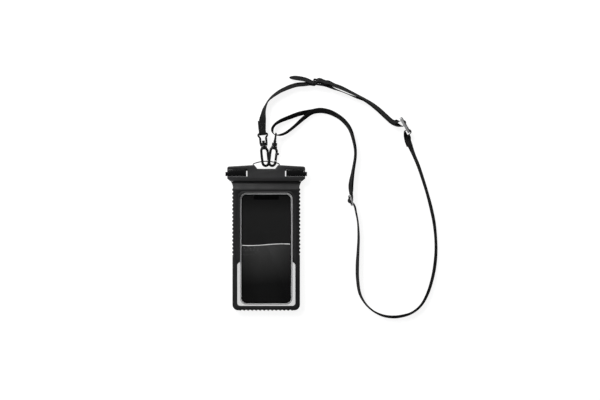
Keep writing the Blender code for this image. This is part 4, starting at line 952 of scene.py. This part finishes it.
# %% Bail
BAIL_RADIUS = 0.75 * MM
half_span = 18.2 * MM
bar_top = 98.7 * MM
foot = bar_top + 1.5 * MM
rise = bar_top + 5.9 * MM - BAIL_RADIUS - foot
bow_radius = (half_span ** 2 + rise ** 2) / (2 * rise)
bow_middle = foot + rise - bow_radius
sweep = math.asin(half_span / bow_radius) * 0.94  # the bow stops short of its two legs
bow = [(bow_radius * math.sin(a), bow_middle + bow_radius * math.cos(a), BAIL_LEVEL)
       for a in [sweep * (step / 10 - 1) for step in range(21)]]
left_leg = [(-half_span, bar_top - 4.0 * MM, BAIL_LEVEL),
            (-half_span, bar_top - 1.0 * MM, BAIL_LEVEL),
            (-half_span, foot - 0.6 * MM, BAIL_LEVEL),
            (-half_span + 0.3 * MM, foot, BAIL_LEVEL)]
bail_path = left_leg + bow + [(-x, y, z) for x, y, z in reversed(left_leg)]
bail = rounded(bar("bail_wire", bail_path, BAIL_RADIUS), 0.1 * MM, angle=50.0)
dress(bail, DARK_WIRE, "case", "dark_steel", "lanyard_bail")
print("bail points:", len(bail_path))

# %% Sliders
for node, finish, slot in (("top_slider", HOOK_FINISH, "black_plastic"),
                           ("ladder_slider", GREY_METAL, "grey_satin_metal"),
                           ("lower_slider", GREY_METAL, "grey_satin_metal")):
    plate = rounded(welded(node, node + "_cast"), 0.3 * MM)
    dress(plate, finish, "case", slot, node)
print("sliders dressed")

# %% [markdown]
# ## Stitches
# Where a strap is folded back on itself it is sewn with a boxed cross. The
# thread is one short rounded stitch repeated along chosen lines, by the same
# kind of node tree as the ribs, now spaced by length.

# %% Thread on the two sewn folds
THREAD = moulded("black_thread", (0.03, 0.03, 0.031), 0.6, 8000, 0.3)
STITCH_TREE = row_tree("stitches_on_a_line", THREAD, "Length")
STITCH = (0.52 * MM, 0.16 * MM, 0.13 * MM)
STITCH_SPACING = 1.3 * MM
SEAM_REACH = 4.0  # millimetres from the tape's middle line to a seam along it
CROSS_ROWS = 6
SHOWN_FACE = -0.5  # millimetres from the tape's middle to the face that shows


def on_tape(rows, first, last, wide):
    """A line on a tape's face between two rows: wide from -1 to 1 across it."""
    line = []
    for index in range(first, last + 1):
        share = (index - first) / (last - first)
        row = rows[index]
        before, after = rows[max(index - 1, 0)], rows[min(index + 1, len(rows) - 1)]
        across = Vector(row[3:]).normalized()
        normal = (after.xyz - before.xyz).normalized().cross(across)
        place = wide[0] * (1 - share) + wide[1] * share
        line.append((row.xyz + across * place * SEAM_REACH + normal * SHOWN_FACE) * MM)
    return line


def boxed_cross(name, rows, first):
    """Thread in a box and a cross on one face of a tape."""
    last = first + CROSS_ROWS
    lines = [on_tape(rows, first, last, ends) for ends in ((-1, -1), (1, 1), (-1, 1), (1, -1))]
    for index in (first, last):
        lines.append([on_tape(rows, index, index + 1, (wide, wide))[0] for wide in (-1, 1)])
    thread = grow(name, lines, STITCH_TREE, {"Length": STITCH_SPACING, "Size": STITCH})
    return dress(thread, THREAD, "case", "black_webbing")


# Each fold is sewn just past the bar that the strap has turned round.
upper_rows = smooth_line(rungs_of(UPPER), TAPE_STEP)
start = next(index for index, row in enumerate(upper_rows)
             if row.z > 8.0 and row.y > 147 and row.x < 0)
first_fold = boxed_cross("upper_fold_thread", upper_rows, start)
lower_rows = smooth_line(rungs_of(LOWER, LOWER_OPENING), TAPE_STEP)
start = next(index for index, row in enumerate(lower_rows) if row.y < 139 and index > 14)
second_fold = boxed_cross("lower_fold_thread", lower_rows, start)
print("stitched folds at", [tuple(round(value) for value in fold.data.vertices[0].co / MM)
                            for fold in (first_fold, second_fold)], "mm")

# %% Straps and stitches done
print("straps and stitches done")

# %% Finish
print("scene done")
